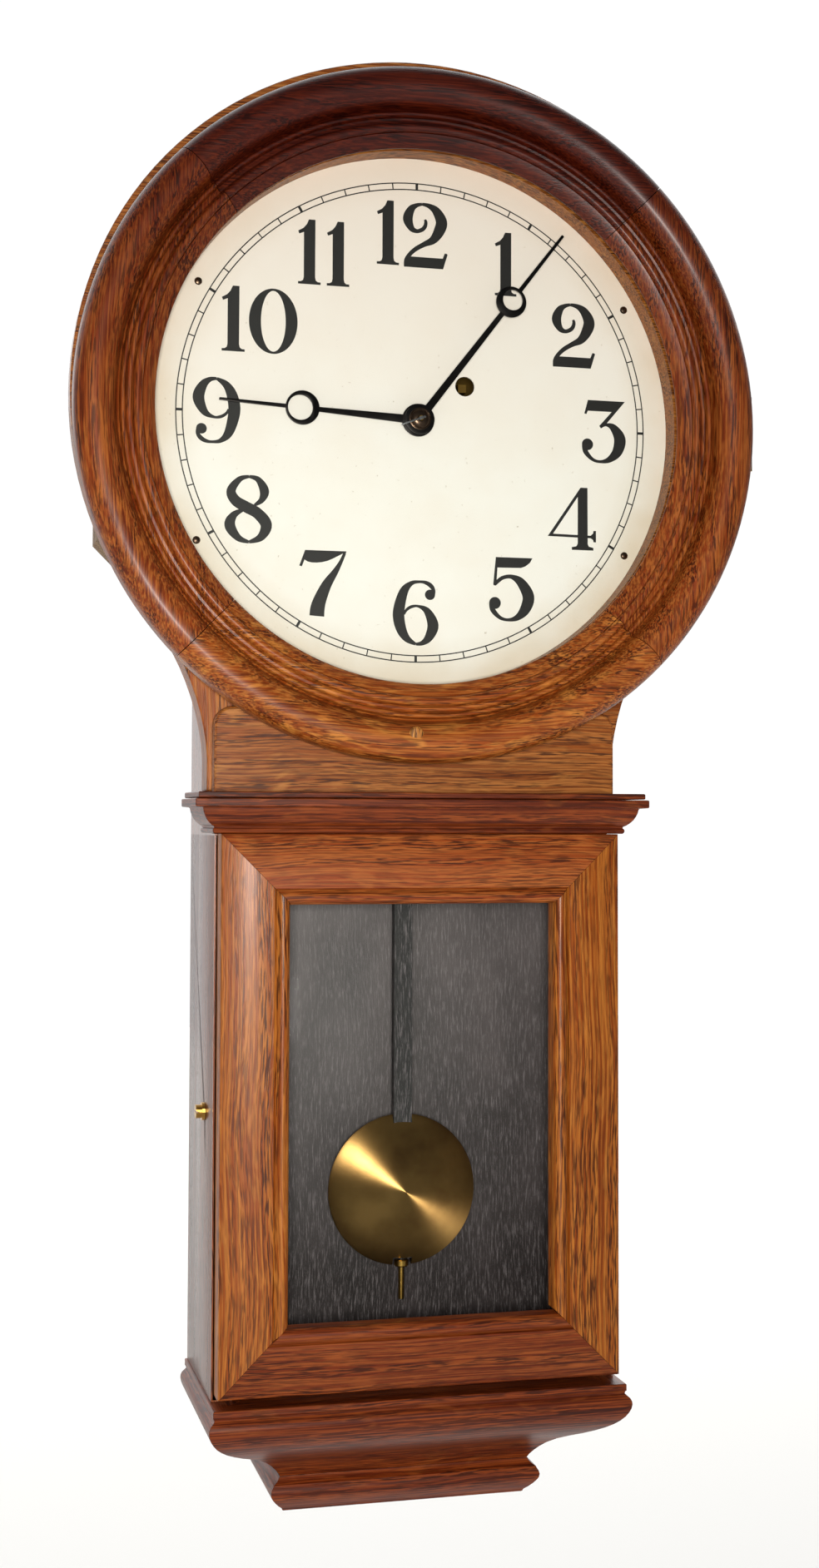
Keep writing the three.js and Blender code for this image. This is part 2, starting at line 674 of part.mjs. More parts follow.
function makeFrontPlate() {
  const shape = plateOutline();
  for (const [x, z, radius] of pivotHoles()) shape.holes.push(disc(radius + gap, x, z));
  for (const [x, z] of pillarPlaces()) shape.holes.push(disc(1.5 + gap, x, z));
  const stud = shaft(1, frontPlateDepth - 0.5, layers.motionUpper + 3.2, 10).translate([studX, 0, studZ]);
  return slab(shape, frontPlateBack, frontPlateDepth, 6).add(stud);
}

function pillarPlaces() {
  const { left, right, bottom, top } = plateCorners;
  return [[left + pillarInset, bottom + pillarInset], [right - pillarInset, bottom + pillarInset],
    [right - pillarInset, top - pillarInset], [left + pillarInset, top - pillarInset]];
}

// The pillars are riveted to this plate; their feet stand on the backboard.
function makeBackPlate() {
  const shape = plateOutline();
  for (const [x, z, radius] of pivotHoles()) shape.holes.push(disc(radius + gap, x, z));
  let plate = slab(shape, backPlateDepth, backPlateFront, 6);
  for (const [x, z] of pillarPlaces()) {
    const pillar = turned([[0, backThickness + gap], [4, backThickness + gap], [4, backPlateDepth + 1],
      [3, backPlateDepth + 4], [3, frontPlateBack - 4], [3.6, frontPlateBack - gap],
      [1.5, frontPlateBack - gap], [1.5, frontPlateDepth + 1.5], [0, frontPlateDepth + 1.5]], 10);
    plate = plate.add(pillar.translate([x, 0, z]));
  }
  const hook = shaft(1, backPlateFront - 0.5, weightDepth + 3, 8);
  return plate.add(hook.translate([cableRight, 0, plateCorners.bottom + 4]));
}

function wheel(teeth, module, phase, layer, hub, thickness = wheelThickness) {
  const rim = teeth * module / 2 - 1.15 * module - 1.6;
  const shape = crossOut(gearOutline(teeth, module, wheelTooth, phase), hub, rim, 2.6);
  return slab(shape, layer, layer + thickness, 5);
}

function pinion(leaves, module, phase, back, front) {
  return slab(gearOutline(leaves, module, pinionLeaf, phase), back, front);
}

function makeCentreWheel() {
  const arbor = turned([[0, backPlateDepth], [pipe.cannonIn, backPlateDepth], [pipe.cannonIn, frontPlateDepth + 0.4],
    [pipe.arbor, frontPlateDepth + 0.4], [pipe.arbor, minuteHandBack + 4.6], [0, minuteHandBack + 4.6]], 12);
  const leaves = pinion(pinionLeaves, greatModule, facing(windingX, windingZ), layers.centrePinion,
    layers.greatWheel + 3);
  const body = wheel(centreTeeth, centreModule, gapTowards(thirdX, thirdZ, centreTeeth), layers.centreWheel, 5);
  const hole = pinSlot();
  return arbor.add(leaves).add(body).subtract(hole);
}

// The cross hole for the hand pin, near the front end of the centre arbor.
function pinSlot() {
  const geometry = new THREE.BoxGeometry(6, 1.5, 1.8);
  geometry.translate(0, -handPinDepth, 0);
  geometry.rotateY(handPinTilt);
  return toSolid(geometry);
}

function makeThirdWheel() {
  const arbor = shaft(1.2, backPlateDepth, frontPlateDepth, 10);
  const leaves = pinion(pinionLeaves, centreModule, facing(-thirdX, -thirdZ), layers.thirdPinion,
    frontPlateBack - 0.6);
  const body = wheel(thirdTeeth, thirdModule, gapTowards(-thirdX, escapeZ - thirdZ, thirdTeeth), layers.thirdWheel, 4);
  return arbor.add(leaves).add(body);
}

function makeEscapeWheel() {
  const pitch = 2 * Math.PI / escapeTeeth;
  const points = [];
  for (let i = 0; i < escapeTeeth; i++) {
    for (const [radius, share] of [[escapeRadius - 3.4, 0.05], [escapeRadius, 0.42], [escapeRadius, 0.5],
      [escapeRadius - 3.4, 0.68]]) {
      points.push([radius * Math.cos((i + share) * pitch), radius * Math.sin((i + share) * pitch)]);
    }
  }
  const body = slab(crossOut(outline(points), 4, escapeRadius - 5.4, 2.2), layers.escapeWheel,
    layers.escapeWheel + wheelThickness, 4);
  const leaves = pinion(pinionLeaves, thirdModule, facing(thirdX, thirdZ - escapeZ), layers.escapePinion,
    layers.thirdWheel + 2.4);
  return shaft(1.2, backPlateDepth, frontPlateDepth, 10).add(leaves).add(body);
}

// Anchor, arbor and crutch, turning on the pendulum's axis.
function makeVerge() {
  const reach = escapeRadius * Math.SQRT1_2;
  const arch = slab(outline([[-reach - 3, -reach - 2], [-reach + 2, -reach - 1], [-4, -6], [4, -6], [reach - 2, -reach - 1],
    [reach + 3, -reach - 2], [reach + 1, -6], [4, 5], [-4, 5], [-reach - 1, -6]]),
  layers.escapeWheel - 0.5, layers.escapeWheel + 2);
  const sweep = slab(disc(escapeRadius + 1.7, 0, -escapeRadius * Math.SQRT2), layers.escapeWheel - 2,
    layers.escapeWheel + 4, 12);
  const crutchBack = frontPlateDepth + 2.5;
  const crutch = block(-1.5, 1.5, crutchBack, crutchBack + 1.5, crutchEnd - pivotHeight, 0)
    .add(shaft(4, crutchBack, crutchBack + 1.5, 12));
  const finger = shaft(1, crutchBack, pendulumDepth + rodThickness / 2 + 1.5, 10)
    .translate([0, 0, crutchEnd - pivotHeight + 2]);
  return arch.subtract(sweep).add(shaft(1.2, backPlateDepth, crutchBack + 2.5, 10)).add(crutch).add(finger);
}

const crutchEnd = 32;

function makeGreatWheel() {
  const phase = gapTowards(-windingX, -windingZ, greatTeeth);
  const body = wheel(greatTeeth, greatModule, phase, layers.greatWheel, 23, 2);
  const stud = shaft(1.2, layers.ratchet, layers.greatWheel + 1, 10).translate([0, 0, clickPivot]);
  return body.add(stud).subtract(shaft(2.5 + gap, layers.greatWheel - 1, layers.greatWheel + 3, 12));
}

const ratchetRadius = 10;
const clickPivot = 18.5;

// The click rides on the great wheel, its nose just clear of the ratchet.
function makeClick() {
  const shape = outline([[-2.6, 2.4], [-2.6, -2.2], [1.4, -3], [4.6, -8.6], [6, -9.9], [7.4, -8], [3.4, 2.4]]);
  return slab(shape, layers.ratchet + gap, layers.greatWheel - gap)
    .subtract(shaft(1.5, layers.ratchet - 1, layers.greatWheel + 1, 10));
}

function makeDrumAndArbor() {
  const arbor = shaft(2.5, backPlateDepth, frontPlateDepth + 1, 12);
  const winding = 5 * Math.SQRT1_2;
  const square = block(-winding / 2 - 0.6, winding / 2 + 0.6, frontPlateDepth, dialDepth - 6, -winding / 2 - 0.6, winding / 2 + 0.6);
  const core = turned([[0, layers.drumBack - 1.5], [9, layers.drumBack - 1.5], [9, layers.drumBack],
    [drumRadius, layers.drumBack + 1], [drumRadius, layers.ratchet - 0.5], [0, layers.ratchet - 0.5]], 20);
  const teeth = 20;
  const points = [];
  for (let i = 0; i < teeth; i++) {
    const angle = (share) => (i + share) * 2 * Math.PI / teeth;
    points.push([8 * Math.cos(angle(0)), 8 * Math.sin(angle(0))]);
    points.push([ratchetRadius * Math.cos(angle(0.12)), ratchetRadius * Math.sin(angle(0.12))]);
  }
  const ratchet = slab(outline(points), layers.ratchet - 0.6, layers.greatWheel - 0.8);
  return arbor.add(square).add(core).add(ratchet);
}

function makeCannonPinion() {
  const leaves = slab(gearOutline(cannonTeeth, minuteModule, pinionLeaf, facing(studX, studZ)), layers.motionLower,
    layers.motionLower + 2);
  const tube = turned([[pipe.cannonIn, layers.motionLower], [pipe.cannonOut, layers.motionLower],
    [pipe.cannonOut, minuteHandBack - gap], [pipe.cannonIn, minuteHandBack - gap]].concat(
    [[pipe.cannonIn, layers.motionLower]]), 16);
  return leaves.subtract(shaft(pipe.cannonIn, layers.motionLower - 1, layers.motionLower + 3)).add(tube);
}

function makeMinuteWheel() {
  const [lower, upper] = [layers.motionLower, layers.motionUpper];
  const big = slab(gearOutline(minuteTeeth, minuteModule, wheelTooth, gapTowards(-studX, -studZ, minuteTeeth)),
    lower, lower + 1.5);
  const small = slab(gearOutline(minutePinionTeeth, hourModule, pinionLeaf, facing(-studX, -studZ)),
    lower + 1, upper + 1.9);
  return big.add(small).subtract(shaft(1 + gap, lower - 1, upper + 4, 10));
}

function makeHourWheel() {
  const back = layers.motionUpper;
  const big = slab(gearOutline(hourTeeth, hourModule, wheelTooth, gapTowards(studX, studZ, hourTeeth)),
    back, back + 1.5);
  const tube = turned([[pipe.hourIn, back], [pipe.hourOut, back], [pipe.hourOut, hourHandBack + 1.5],
    [pipe.hourIn, hourHandBack + 1.5], [pipe.hourIn, back]], 16);
  return big.subtract(shaft(pipe.hourIn, back - 1, back + 3)).add(tube);
}

// ---- pendulum ----
const springTop = pivotHeight + 7.5;
const springFoot = pivotHeight - 17.5;

function makeCock() {
  const back = frontPlateDepth + gap;
  const foot = block(-9, 9, back, back + 2.5, springTop + gap, plateCorners.top - 2);
  const arm = block(-5, 5, back, pendulumDepth + 4, springTop + gap, springTop + 5);
  return foot.add(arm);
}

function makeSpring() {
  const chop = (half, z0, z1) => block(-half, half, pendulumDepth - 2.4, pendulumDepth + 2.4, z0, z1);
  const strip = block(-0.25, 0.25, pendulumDepth - 2, pendulumDepth + 2, springFoot + 4, springTop - 4);
  return chop(3.5, springTop - 5, springTop).add(strip).add(chop(3, springFoot, springFoot + 8));
}

// The rod opens into a ring round the hands' pipes, and ends in a screwed stud.
function makeRod() {
  const [back, front] = [pendulumDepth - rodThickness / 2, pendulumDepth + rodThickness / 2];
  const bottom = bobHeight - bobRadius + 4;
  const bar = block(-rodWidth / 2, rodWidth / 2, back, front, bottom, springFoot - gap);
  const eye = slab(disc(17), back, front, 12);
  const window = slab(disc(11), back - 1, front + 1, 12);
  const slot = block(-1.5, 1.5, back - 1, front + 1, crutchEnd - 3, crutchEnd + 7);
  const stud = upright(1.6, 0, pendulumDepth, studEnd, bottom + 1, 10);
  return bar.add(eye).subtract(window).subtract(slot).add(stud);
}

const studEnd = bobHeight - bobRadius - 20;

// Two spun dishes soldered at the rim, with a channel for the rod.
function makeBob() {
  const rim = 1;
  const points = [[0, pendulumDepth - bobThickness / 2]];
  for (let i = 1; i <= 8; i++) {
    const share = i / 8;
    const rise = (bobThickness / 2 - rim) * Math.sqrt(Math.max(0, 1 - share ** 2.2));
    points.push([bobRadius * share, pendulumDepth - rim - rise]);
  }
  const front = points.map(([r, depth]) => [r, 2 * pendulumDepth - depth]).reverse();
  const lens = turned([...points, ...front], 48).translate([0, 0, bobHeight]);
  const channel = block(-rodWidth / 2 - gap, rodWidth / 2 + gap, pendulumDepth - rodThickness / 2 - gap,
    pendulumDepth + rodThickness / 2 + gap, bobHeight - bobRadius - 5, bobHeight + bobRadius + 5);
  return lens.subtract(channel);
}

function makeRatingNut() {
  const top = bobHeight - bobRadius - 1;
  return upright(4, 0, pendulumDepth, top - 4, top, 16).subtract(upright(1.6 + gap, 0, pendulumDepth, top - 6, top + 2));
}

// ---- weight, pulley and cable ----
const strandRadius = pulleyRadius + cableRadius;
const cableLeft = windingX - drumRadius - cableRadius - 0.4;
const weightX = cableLeft + strandRadius;
const cableRight = weightX + strandRadius;
const weightBottom = baseTop + 18;
const weightTop = weightBottom + weightHeight;
const pulleyZ = weightTop + pulleyRadius + 6;

function makeWeight() {
  const half = weightThickness / 2;
  const body = block(weightX - weightWidth / 2, weightX + weightWidth / 2, weightDepth - half, weightDepth + half,
    weightBottom, weightTop);
  const cheek = (back) => block(weightX - 4, weightX + 4, back, back + 1.5, weightTop - 1, pulleyZ + 4);
  const axle = shaft(1.5, weightDepth - 5, weightDepth + 5, 10).translate([weightX, 0, pulleyZ]);
  return body.add(cheek(weightDepth - 5.5)).add(cheek(weightDepth + 4)).add(axle);
}

function makePulley() {
  const half = 3;
  return turned([[1.5 + gap, weightDepth - half], [pulleyRadius + 1.6, weightDepth - half],
    [pulleyRadius + 1.6, weightDepth - half + 0.8], [pulleyRadius - 0.6, weightDepth - 1],
    [pulleyRadius - 0.6, weightDepth + 1], [pulleyRadius + 1.6, weightDepth + half - 0.8],
    [pulleyRadius + 1.6, weightDepth + half], [1.5 + gap, weightDepth + half],
    [1.5 + gap, weightDepth - half]], 24);
}

function makeCable() {
  const at = (x, z) => new THREE.Vector3(x, -weightDepth, z);
  const path = new THREE.CurvePath();
  path.add(new THREE.LineCurve3(at(cableLeft, windingZ), at(cableLeft, pulleyZ)));
  const turnSteps = 8;
  for (let i = 0; i < turnSteps; i++) {
    const place = (k) => {
      const angle = Math.PI * (1 + k / turnSteps);
      return at(weightX + strandRadius * Math.cos(angle), pulleyZ + strandRadius * Math.sin(angle));
    };
    path.add(new THREE.LineCurve3(place(i), place(i + 1)));
  }
  path.add(new THREE.LineCurve3(at(cableRight, pulleyZ), at(cableRight, plateCorners.bottom + 2.6)));
  const section = Array.from({ length: 6 }, (_, i) => [cableRadius * Math.cos(i * Math.PI / 3),
    cableRadius * Math.sin(i * Math.PI / 3)]);
  const corners = path.curves.map((line) => line.v1).concat([path.curves.at(-1).v2]);
  const stations = corners.map((corner, i) => {
    const before = corners[Math.max(i - 1, 0)];
    const after = corners[Math.min(i + 1, corners.length - 1)];
    const along = new THREE.Vector3().subVectors(after, before).normalize();
    const side = new THREE.Vector3(0, 1, 0).cross(along);
    return ([u, v]) => [corner.x + side.x * u, corner.y + v, corner.z + side.z * u];
  });
  return swept(section, stations);
}

// ---- assembly ----
piece('backboard', makeBackboard(), 'oakInside');
piece('head_drum', makeDrum(), 'oakInside');
piece('dial_board', makeDialBoard(), 'oakInside');
piece('head_ring', makeHeadRing(), 'oak');
piece('ear_left', makeEar(-1), 'oak');
piece('ear_right', makeEar(1), 'oak');
piece('neck_panel', makeNeckPanel(), 'oak');
piece('cornice_front', makeCornice(0), 'oak');
piece('cornice_left', makeCornice(-1), 'oak');
piece('cornice_right', makeCornice(1), 'oak');
piece('cornice_cap', makeCorniceCap(), 'oak');
piece('case_side_left', makeCaseSide(-1), 'oak');
piece('case_side_right', makeCaseSide(1), 'oak');
piece('baffle', makeBaffle(), 'blackPaint');
piece('base_moulding', makeBase(), 'oak');
piece('base_foot', makeFoot(), 'oak');

piece('dial', makeDial(), 'dialWhite');
screwPlaces().forEach(([x, z], i) => piece(`dial_screw_${i + 1}`, makeDialScrew(), 'steel', x, z));

['right', 'top', 'left', 'bottom'].forEach((side, i) => {
  piece(`bezel_${side}`, makeBezelSegment(90 * i), 'oak');
});
piece('bezel_glass', slab(disc(dialOpening + 3.8), bezelBack + 1, bezelBack + 3.2, 14), 'glass');
const bezelHinge = makeHinge(headRadius, bezelRadius, ringFront + gap / 2, 0, 44);
piece('bezel_hinge_fixed_leaf', bezelHinge.fixed, 'brass');
piece('bezel_hinge_leaf', bezelHinge.moving, 'brass');

['door_rail_top', 'door_stile_right', 'door_rail_bottom', 'door_stile_left'].forEach((name, side) => {
  piece(name, makeDoorStick(side), 'oak');
});
piece('door_glass', makeDoorGlass(), 'glass');
const doorHinge = makeHinge(caseHalfWidth, doorHalfWidth, caseDepth + gap / 2, (doorTop + doorBottom) / 2, 96);
piece('door_hinge_fixed_leaf', doorHinge.fixed, 'brass');
piece('door_hinge_leaf', doorHinge.moving, 'brass');
piece('latch', makeLatch(), 'brass');

piece('front_plate', makeFrontPlate(), 'brass');
piece('back_plate', makeBackPlate(), 'brass');
piece('cable_drum', makeDrumAndArbor(), 'brass', windingX, windingZ);
piece('great_wheel', makeGreatWheel(), 'brass', windingX, windingZ);
piece('click', makeClick(), 'steel', windingX, windingZ + clickPivot);
piece('centre_wheel', makeCentreWheel(), 'brass');
piece('third_wheel', makeThirdWheel(), 'brass', thirdX, thirdZ);
piece('escape_wheel', makeEscapeWheel(), 'brass', 0, escapeZ);
piece('verge', makeVerge(), 'steel', 0, pivotHeight);
piece('cannon_pinion', makeCannonPinion(), 'brass');
piece('minute_wheel', makeMinuteWheel(), 'brass', studX, studZ);
piece('hour_wheel', makeHourWheel(), 'brass');
piece('hour_hand', makeHourHand(), 'blackSteel', 0, 0, hourAngle);
piece('minute_hand', makeMinuteHand(), 'blackSteel', 0, 0, minuteAngle);
piece('hand_collet', makeCollet(), 'blackSteel', 0, 0, minuteAngle);
piece('hand_pin', makeHandPin(), 'steel');

piece('suspension_cock', makeCock(), 'brass');
piece('suspension_spring', makeSpring(), 'steel');
piece('pendulum_rod', makeRod(), 'blackPaint');
piece('pendulum_bob', makeBob(), 'brass');
piece('rating_nut', makeRatingNut(), 'brass');
piece('weight', makeWeight(), 'iron');
piece('weight_pulley', makePulley(), 'brass', weightX, pulleyZ);
piece('weight_cable', makeCable(), 'steel');

export default clock;
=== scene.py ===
import json
import math

import bpy
from mathutils import Matrix, Vector


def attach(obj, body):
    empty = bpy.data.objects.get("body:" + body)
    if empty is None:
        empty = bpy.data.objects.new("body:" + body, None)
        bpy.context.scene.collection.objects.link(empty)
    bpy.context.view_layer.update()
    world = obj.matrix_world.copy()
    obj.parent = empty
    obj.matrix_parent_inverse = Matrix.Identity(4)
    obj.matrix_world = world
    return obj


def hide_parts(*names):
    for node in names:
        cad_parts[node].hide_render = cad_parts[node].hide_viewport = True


# Wall clock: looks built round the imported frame. Row frame in metres, front faces -Y.
# Lengths below are in millimetres, and depth is the distance in front of the wall.

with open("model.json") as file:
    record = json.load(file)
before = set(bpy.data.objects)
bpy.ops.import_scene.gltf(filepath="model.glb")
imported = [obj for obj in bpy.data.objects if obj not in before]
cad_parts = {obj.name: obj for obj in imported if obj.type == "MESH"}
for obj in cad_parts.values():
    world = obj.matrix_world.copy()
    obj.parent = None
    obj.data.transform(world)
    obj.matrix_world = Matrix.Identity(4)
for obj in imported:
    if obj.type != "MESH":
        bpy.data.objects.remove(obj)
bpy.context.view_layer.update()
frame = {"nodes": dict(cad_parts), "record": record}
print("stage: frame loaded")

dial = {"depth": 86.0, "opening": 152.4, "lift": 6.0, "keyHole": 5.75, "keyAt": (29, 86, 22),
        "middleHole": 5.0}
bob = {"z": -442.0, "radius": 43.0, "half": 12.0, "depth": 56.0, "channel": (0.0112, 0.0066, 0.1),
       "nut": -486, "studEnd": -505}


def mm(x, depth, z):
    return Vector((x, -depth, z)) / 1000


def deselectAll():
    if bpy.context.object and bpy.context.object.mode != "OBJECT":
        bpy.ops.object.mode_set(mode="OBJECT")
    bpy.ops.object.select_all(action="DESELECT")


def pickOne(obj):
    deselectAll()
    obj.select_set(True)
    bpy.context.view_layer.objects.active = obj


# A closed flat face through the points, left in edit mode with everything selected.
def traceFace(name, points):
    deselectAll()
    bpy.ops.mesh.primitive_plane_add(size=0.001, location=(0, 0, 0))
    obj = bpy.context.object
    obj.name = obj.data.name = name
    bpy.ops.object.mode_set(mode="EDIT")
    bpy.ops.mesh.select_all(action="SELECT")
    bpy.ops.mesh.merge(type="CENTER")
    bpy.ops.transform.translate(value=points[0])
    for before, after in zip(points, points[1:]):
        bpy.ops.mesh.extrude_region_move(TRANSFORM_OT_translate={"value": after - before})
    bpy.ops.mesh.select_all(action="SELECT")
    bpy.ops.mesh.edge_face_add()
    return obj


def pushOut(offset):
    bpy.ops.mesh.extrude_region_move(TRANSFORM_OT_translate={"value": offset})
    bpy.ops.mesh.select_all(action="SELECT")


# Cuts away what lies on the normal's side of the plane and closes the end.
def cutOff(point, normal):
    bpy.ops.mesh.select_all(action="SELECT")
    bpy.ops.mesh.bisect(plane_co=point, plane_no=normal, use_fill=True, clear_outer=True)


def closeUp(obj, angle=30):
    bpy.ops.mesh.select_all(action="SELECT")
    bpy.ops.mesh.remove_doubles(threshold=0.000005)
    bpy.ops.mesh.normals_make_consistent(inside=False)
    bpy.ops.object.mode_set(mode="OBJECT")
    pickOne(obj)
    bpy.ops.object.shade_smooth_by_angle(angle=math.radians(angle))
    return obj


def roundEdges(obj, width, segments=2, angle=35):
    pickOne(obj)
    bevel = obj.modifiers.new("edges", "BEVEL")
    bevel.width = width / 1000
    bevel.segments = segments
    bevel.limit_method = "ANGLE"
    bevel.angle_limit = math.radians(angle)
    bevel.use_clamp_overlap = True
    bevel.harden_normals = False
    bpy.ops.object.modifier_apply(modifier="edges")
    bpy.ops.object.shade_smooth_by_angle(angle=math.radians(38))
    return obj


# A moulding: the section is a list of points in the plane at start, carried to end.
def stick(name, section, start, end, mitres=()):
    obj = traceFace(name, [start + point for point in section])
    pushOut(end - start)
    for point, normal in mitres:
        cutOff(point, normal)
    return closeUp(obj)


# A flat outline in x and z given a thickness, with eased edges.
def board(name, outline, back, front, edge=0.8):
    obj = traceFace(name, [mm(x, back, z) for x, z in outline])
    pushOut(mm(0, front - back, 0))
    closeUp(obj)
    return roundEdges(obj, edge)


# A closed profile of (radius, depth) turned about the axis along Y at centre.
def turnPiece(name, profile, centre=(0, 0), steps=96, angle=30):
    obj = traceFace(name, [mm(r, depth, 0) for r, depth in profile])
    bpy.ops.mesh.delete(type="ONLY_FACE")
    bpy.ops.mesh.select_all(action="SELECT")
    bpy.ops.mesh.spin(steps=steps, angle=2 * math.pi, center=(0, 0, 0), axis=(0, 1, 0))
    closeUp(obj, angle)
    obj.data.transform(Matrix.Translation(mm(centre[0], 0, centre[1])))
    return obj


def boxPiece(name, low, high, edge=0.8):
    deselectAll()
    size = [b - a for a, b in zip(low, high)]
    centre = mm(*[(a + b) / 2 for a, b in zip(low, high)])
    bpy.ops.mesh.primitive_cube_add(size=1, location=centre, scale=[s / 1000 for s in size])
    obj = bpy.context.object
    obj.name = obj.data.name = name
    settle(obj)
    return roundEdges(obj, edge)


def settle(obj):
    pickOne(obj)
    bpy.ops.object.transform_apply(location=True, rotation=True, scale=True)
    return obj


def joinAll(name, parts):
    deselectAll()
    for part in parts:
        part.select_set(True)
    bpy.context.view_layer.objects.active = parts[0]
    bpy.ops.object.join()
    parts[0].name = parts[0].data.name = name
    return parts[0]


def copyMoved(obj, name, matrix):
    twin = obj.copy()
    twin.data = obj.data.copy()
    twin.name = twin.data.name = name
    bpy.context.scene.collection.objects.link(twin)
    twin.data.transform(matrix)
    return twin


def copyTurned(obj, name, degrees):
    return copyMoved(obj, name, Matrix.Rotation(math.radians(degrees), 4, "Y"))


def mirrored(obj, name):
    twin = copyMoved(obj, name, Matrix.Scale(-1, 4, (1, 0, 0)))
    twin.data.flip_normals()
    return twin


# A round bar along Y, ready to cut with.
def punch(radius, length, centre, vertices=40):
    deselectAll()
    bpy.ops.mesh.primitive_cylinder_add(vertices=vertices, radius=radius / 1000, depth=length / 1000,
                                        location=centre, rotation=(math.pi / 2, 0, 0))
    return settle(bpy.context.object)


# Cuts the tool out of the piece, or adds it, and removes the tool.
def combine(obj, tool, operation="DIFFERENCE"):
    pickOne(obj)
    modifier = obj.modifiers.new("shape", "BOOLEAN")
    modifier.object, modifier.operation, modifier.solver = tool, operation, "EXACT"
    bpy.ops.object.modifier_apply(modifier="shape")
    bpy.data.objects.remove(tool)


def place(obj, material, body, slot, *nodes):
    obj.data.materials.clear()
    obj.data.materials.append(material)
    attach(obj, body)
    if nodes:
        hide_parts(*nodes)
    return obj


hair = Vector((0.00012, 0, 0))  # half of the dark line at a mitre


def arcPoints(cu, cv, ru, rv, start, end, steps):
    angles = [math.radians(start + (end - start) * i / steps) for i in range(steps + 1)]
    return [(cu + ru * math.cos(a), cv + rv * math.sin(a)) for a in angles]


def linear(hexColour):
    values = [int(hexColour[i : i + 2], 16) / 255 for i in (1, 3, 5)]
    return [v / 12.92 if v <= 0.04045 else ((v + 0.055) / 1.055) ** 2.4 for v in values] + [1.0]


def newMaterial(name):
    material = bpy.data.materials.new(name)
    material.use_nodes = True
    tree = material.node_tree
    return material, tree, tree.nodes["Principled BSDF"]


def addNode(tree, kind, inputs=None, **settings):
    node = tree.nodes.new(kind)
    for key, value in settings.items():
        setattr(node, key, value)
    for key, value in (inputs or {}).items():
        if isinstance(value, bpy.types.NodeSocket):
            tree.links.new(value, node.inputs[key])
        else:
            node.inputs[key].default_value = value
    return node


def ramp(tree, source, stops):
    node = addNode(tree, "ShaderNodeValToRGB", {"Fac": source})
    elements = node.color_ramp.elements
    while len(elements) < len(stops):
        elements.new(0.5)
    for element, (position, colour) in zip(elements, stops):
        element.position = position
        element.color = linear(colour) if isinstance(colour, str) else [colour] * 3 + [1.0]
    return node.outputs["Color"]


def mixColour(tree, factor, a, b, blend="MIX"):
    node = addNode(tree, "ShaderNodeMix", data_type="RGBA", blend_type=blend)
    for index, value in ((0, factor), (6, a), (7, b)):
        if isinstance(value, bpy.types.NodeSocket):
            tree.links.new(value, node.inputs[index])
        else:
            node.inputs[index].default_value = linear(value) if isinstance(value, str) else value
    return node.outputs[2]


# Object coordinates reordered so the grain runs first, scaled per metre and gently bent.
def stretched(tree, order, scales, warp=0.0):
    parts = addNode(tree, "ShaderNodeSeparateXYZ",
                    {0: addNode(tree, "ShaderNodeTexCoord").outputs["Object"]})
    along, across, through = [parts.outputs[axis] for axis in order]
    if warp:
        slow = addNode(tree, "ShaderNodeCombineXYZ", {0: along, 1: across, 2: through})
        bend = addNode(tree, "ShaderNodeTexNoise", {"Vector": slow.outputs[0], "Scale": 9.0, "Detail": 1.0})
        shift = addNode(tree, "ShaderNodeMath", {0: bend.outputs["Fac"], 1: warp}, operation="MULTIPLY")
        across = addNode(tree, "ShaderNodeMath", {0: across, 1: shift.outputs[0]},
                         operation="ADD").outputs[0]
    out = []
    for value, scale in zip((along, across, through), scales):
        out.append(addNode(tree, "ShaderNodeMath", {0: value, 1: scale}, operation="MULTIPLY").outputs[0])
    return addNode(tree, "ShaderNodeCombineXYZ", {0: out[0], 1: out[1], 2: out[2]}).outputs[0]


def noise(tree, vector, detail=2.0, rough=0.5):
    node = addNode(tree, "ShaderNodeTexNoise", {"Vector": vector, "Scale": 1.0, "Detail": detail,
                                                "Roughness": rough})
    return node.outputs["Fac"]


# Sizes of the oak's pattern in mm, along the grain and across it. Real pores are about 0.3 mm wide and
# are drawn three times as coarse, so that they show.
oakGrain = {"cloud": (333.3, 23.81), "rings": (125, 1.282), "bands": (250, 5.882), "pores": (14.29, 0.8696),
            "rays": (22.22, 6.667)}
brushedPaint = {"streaks": (11.11, 1.111), "cloud": (71.43, 38.46)}


def perMetre(size):
    along, across = size
    return 1000 / along, 1000 / across, 1000 / across


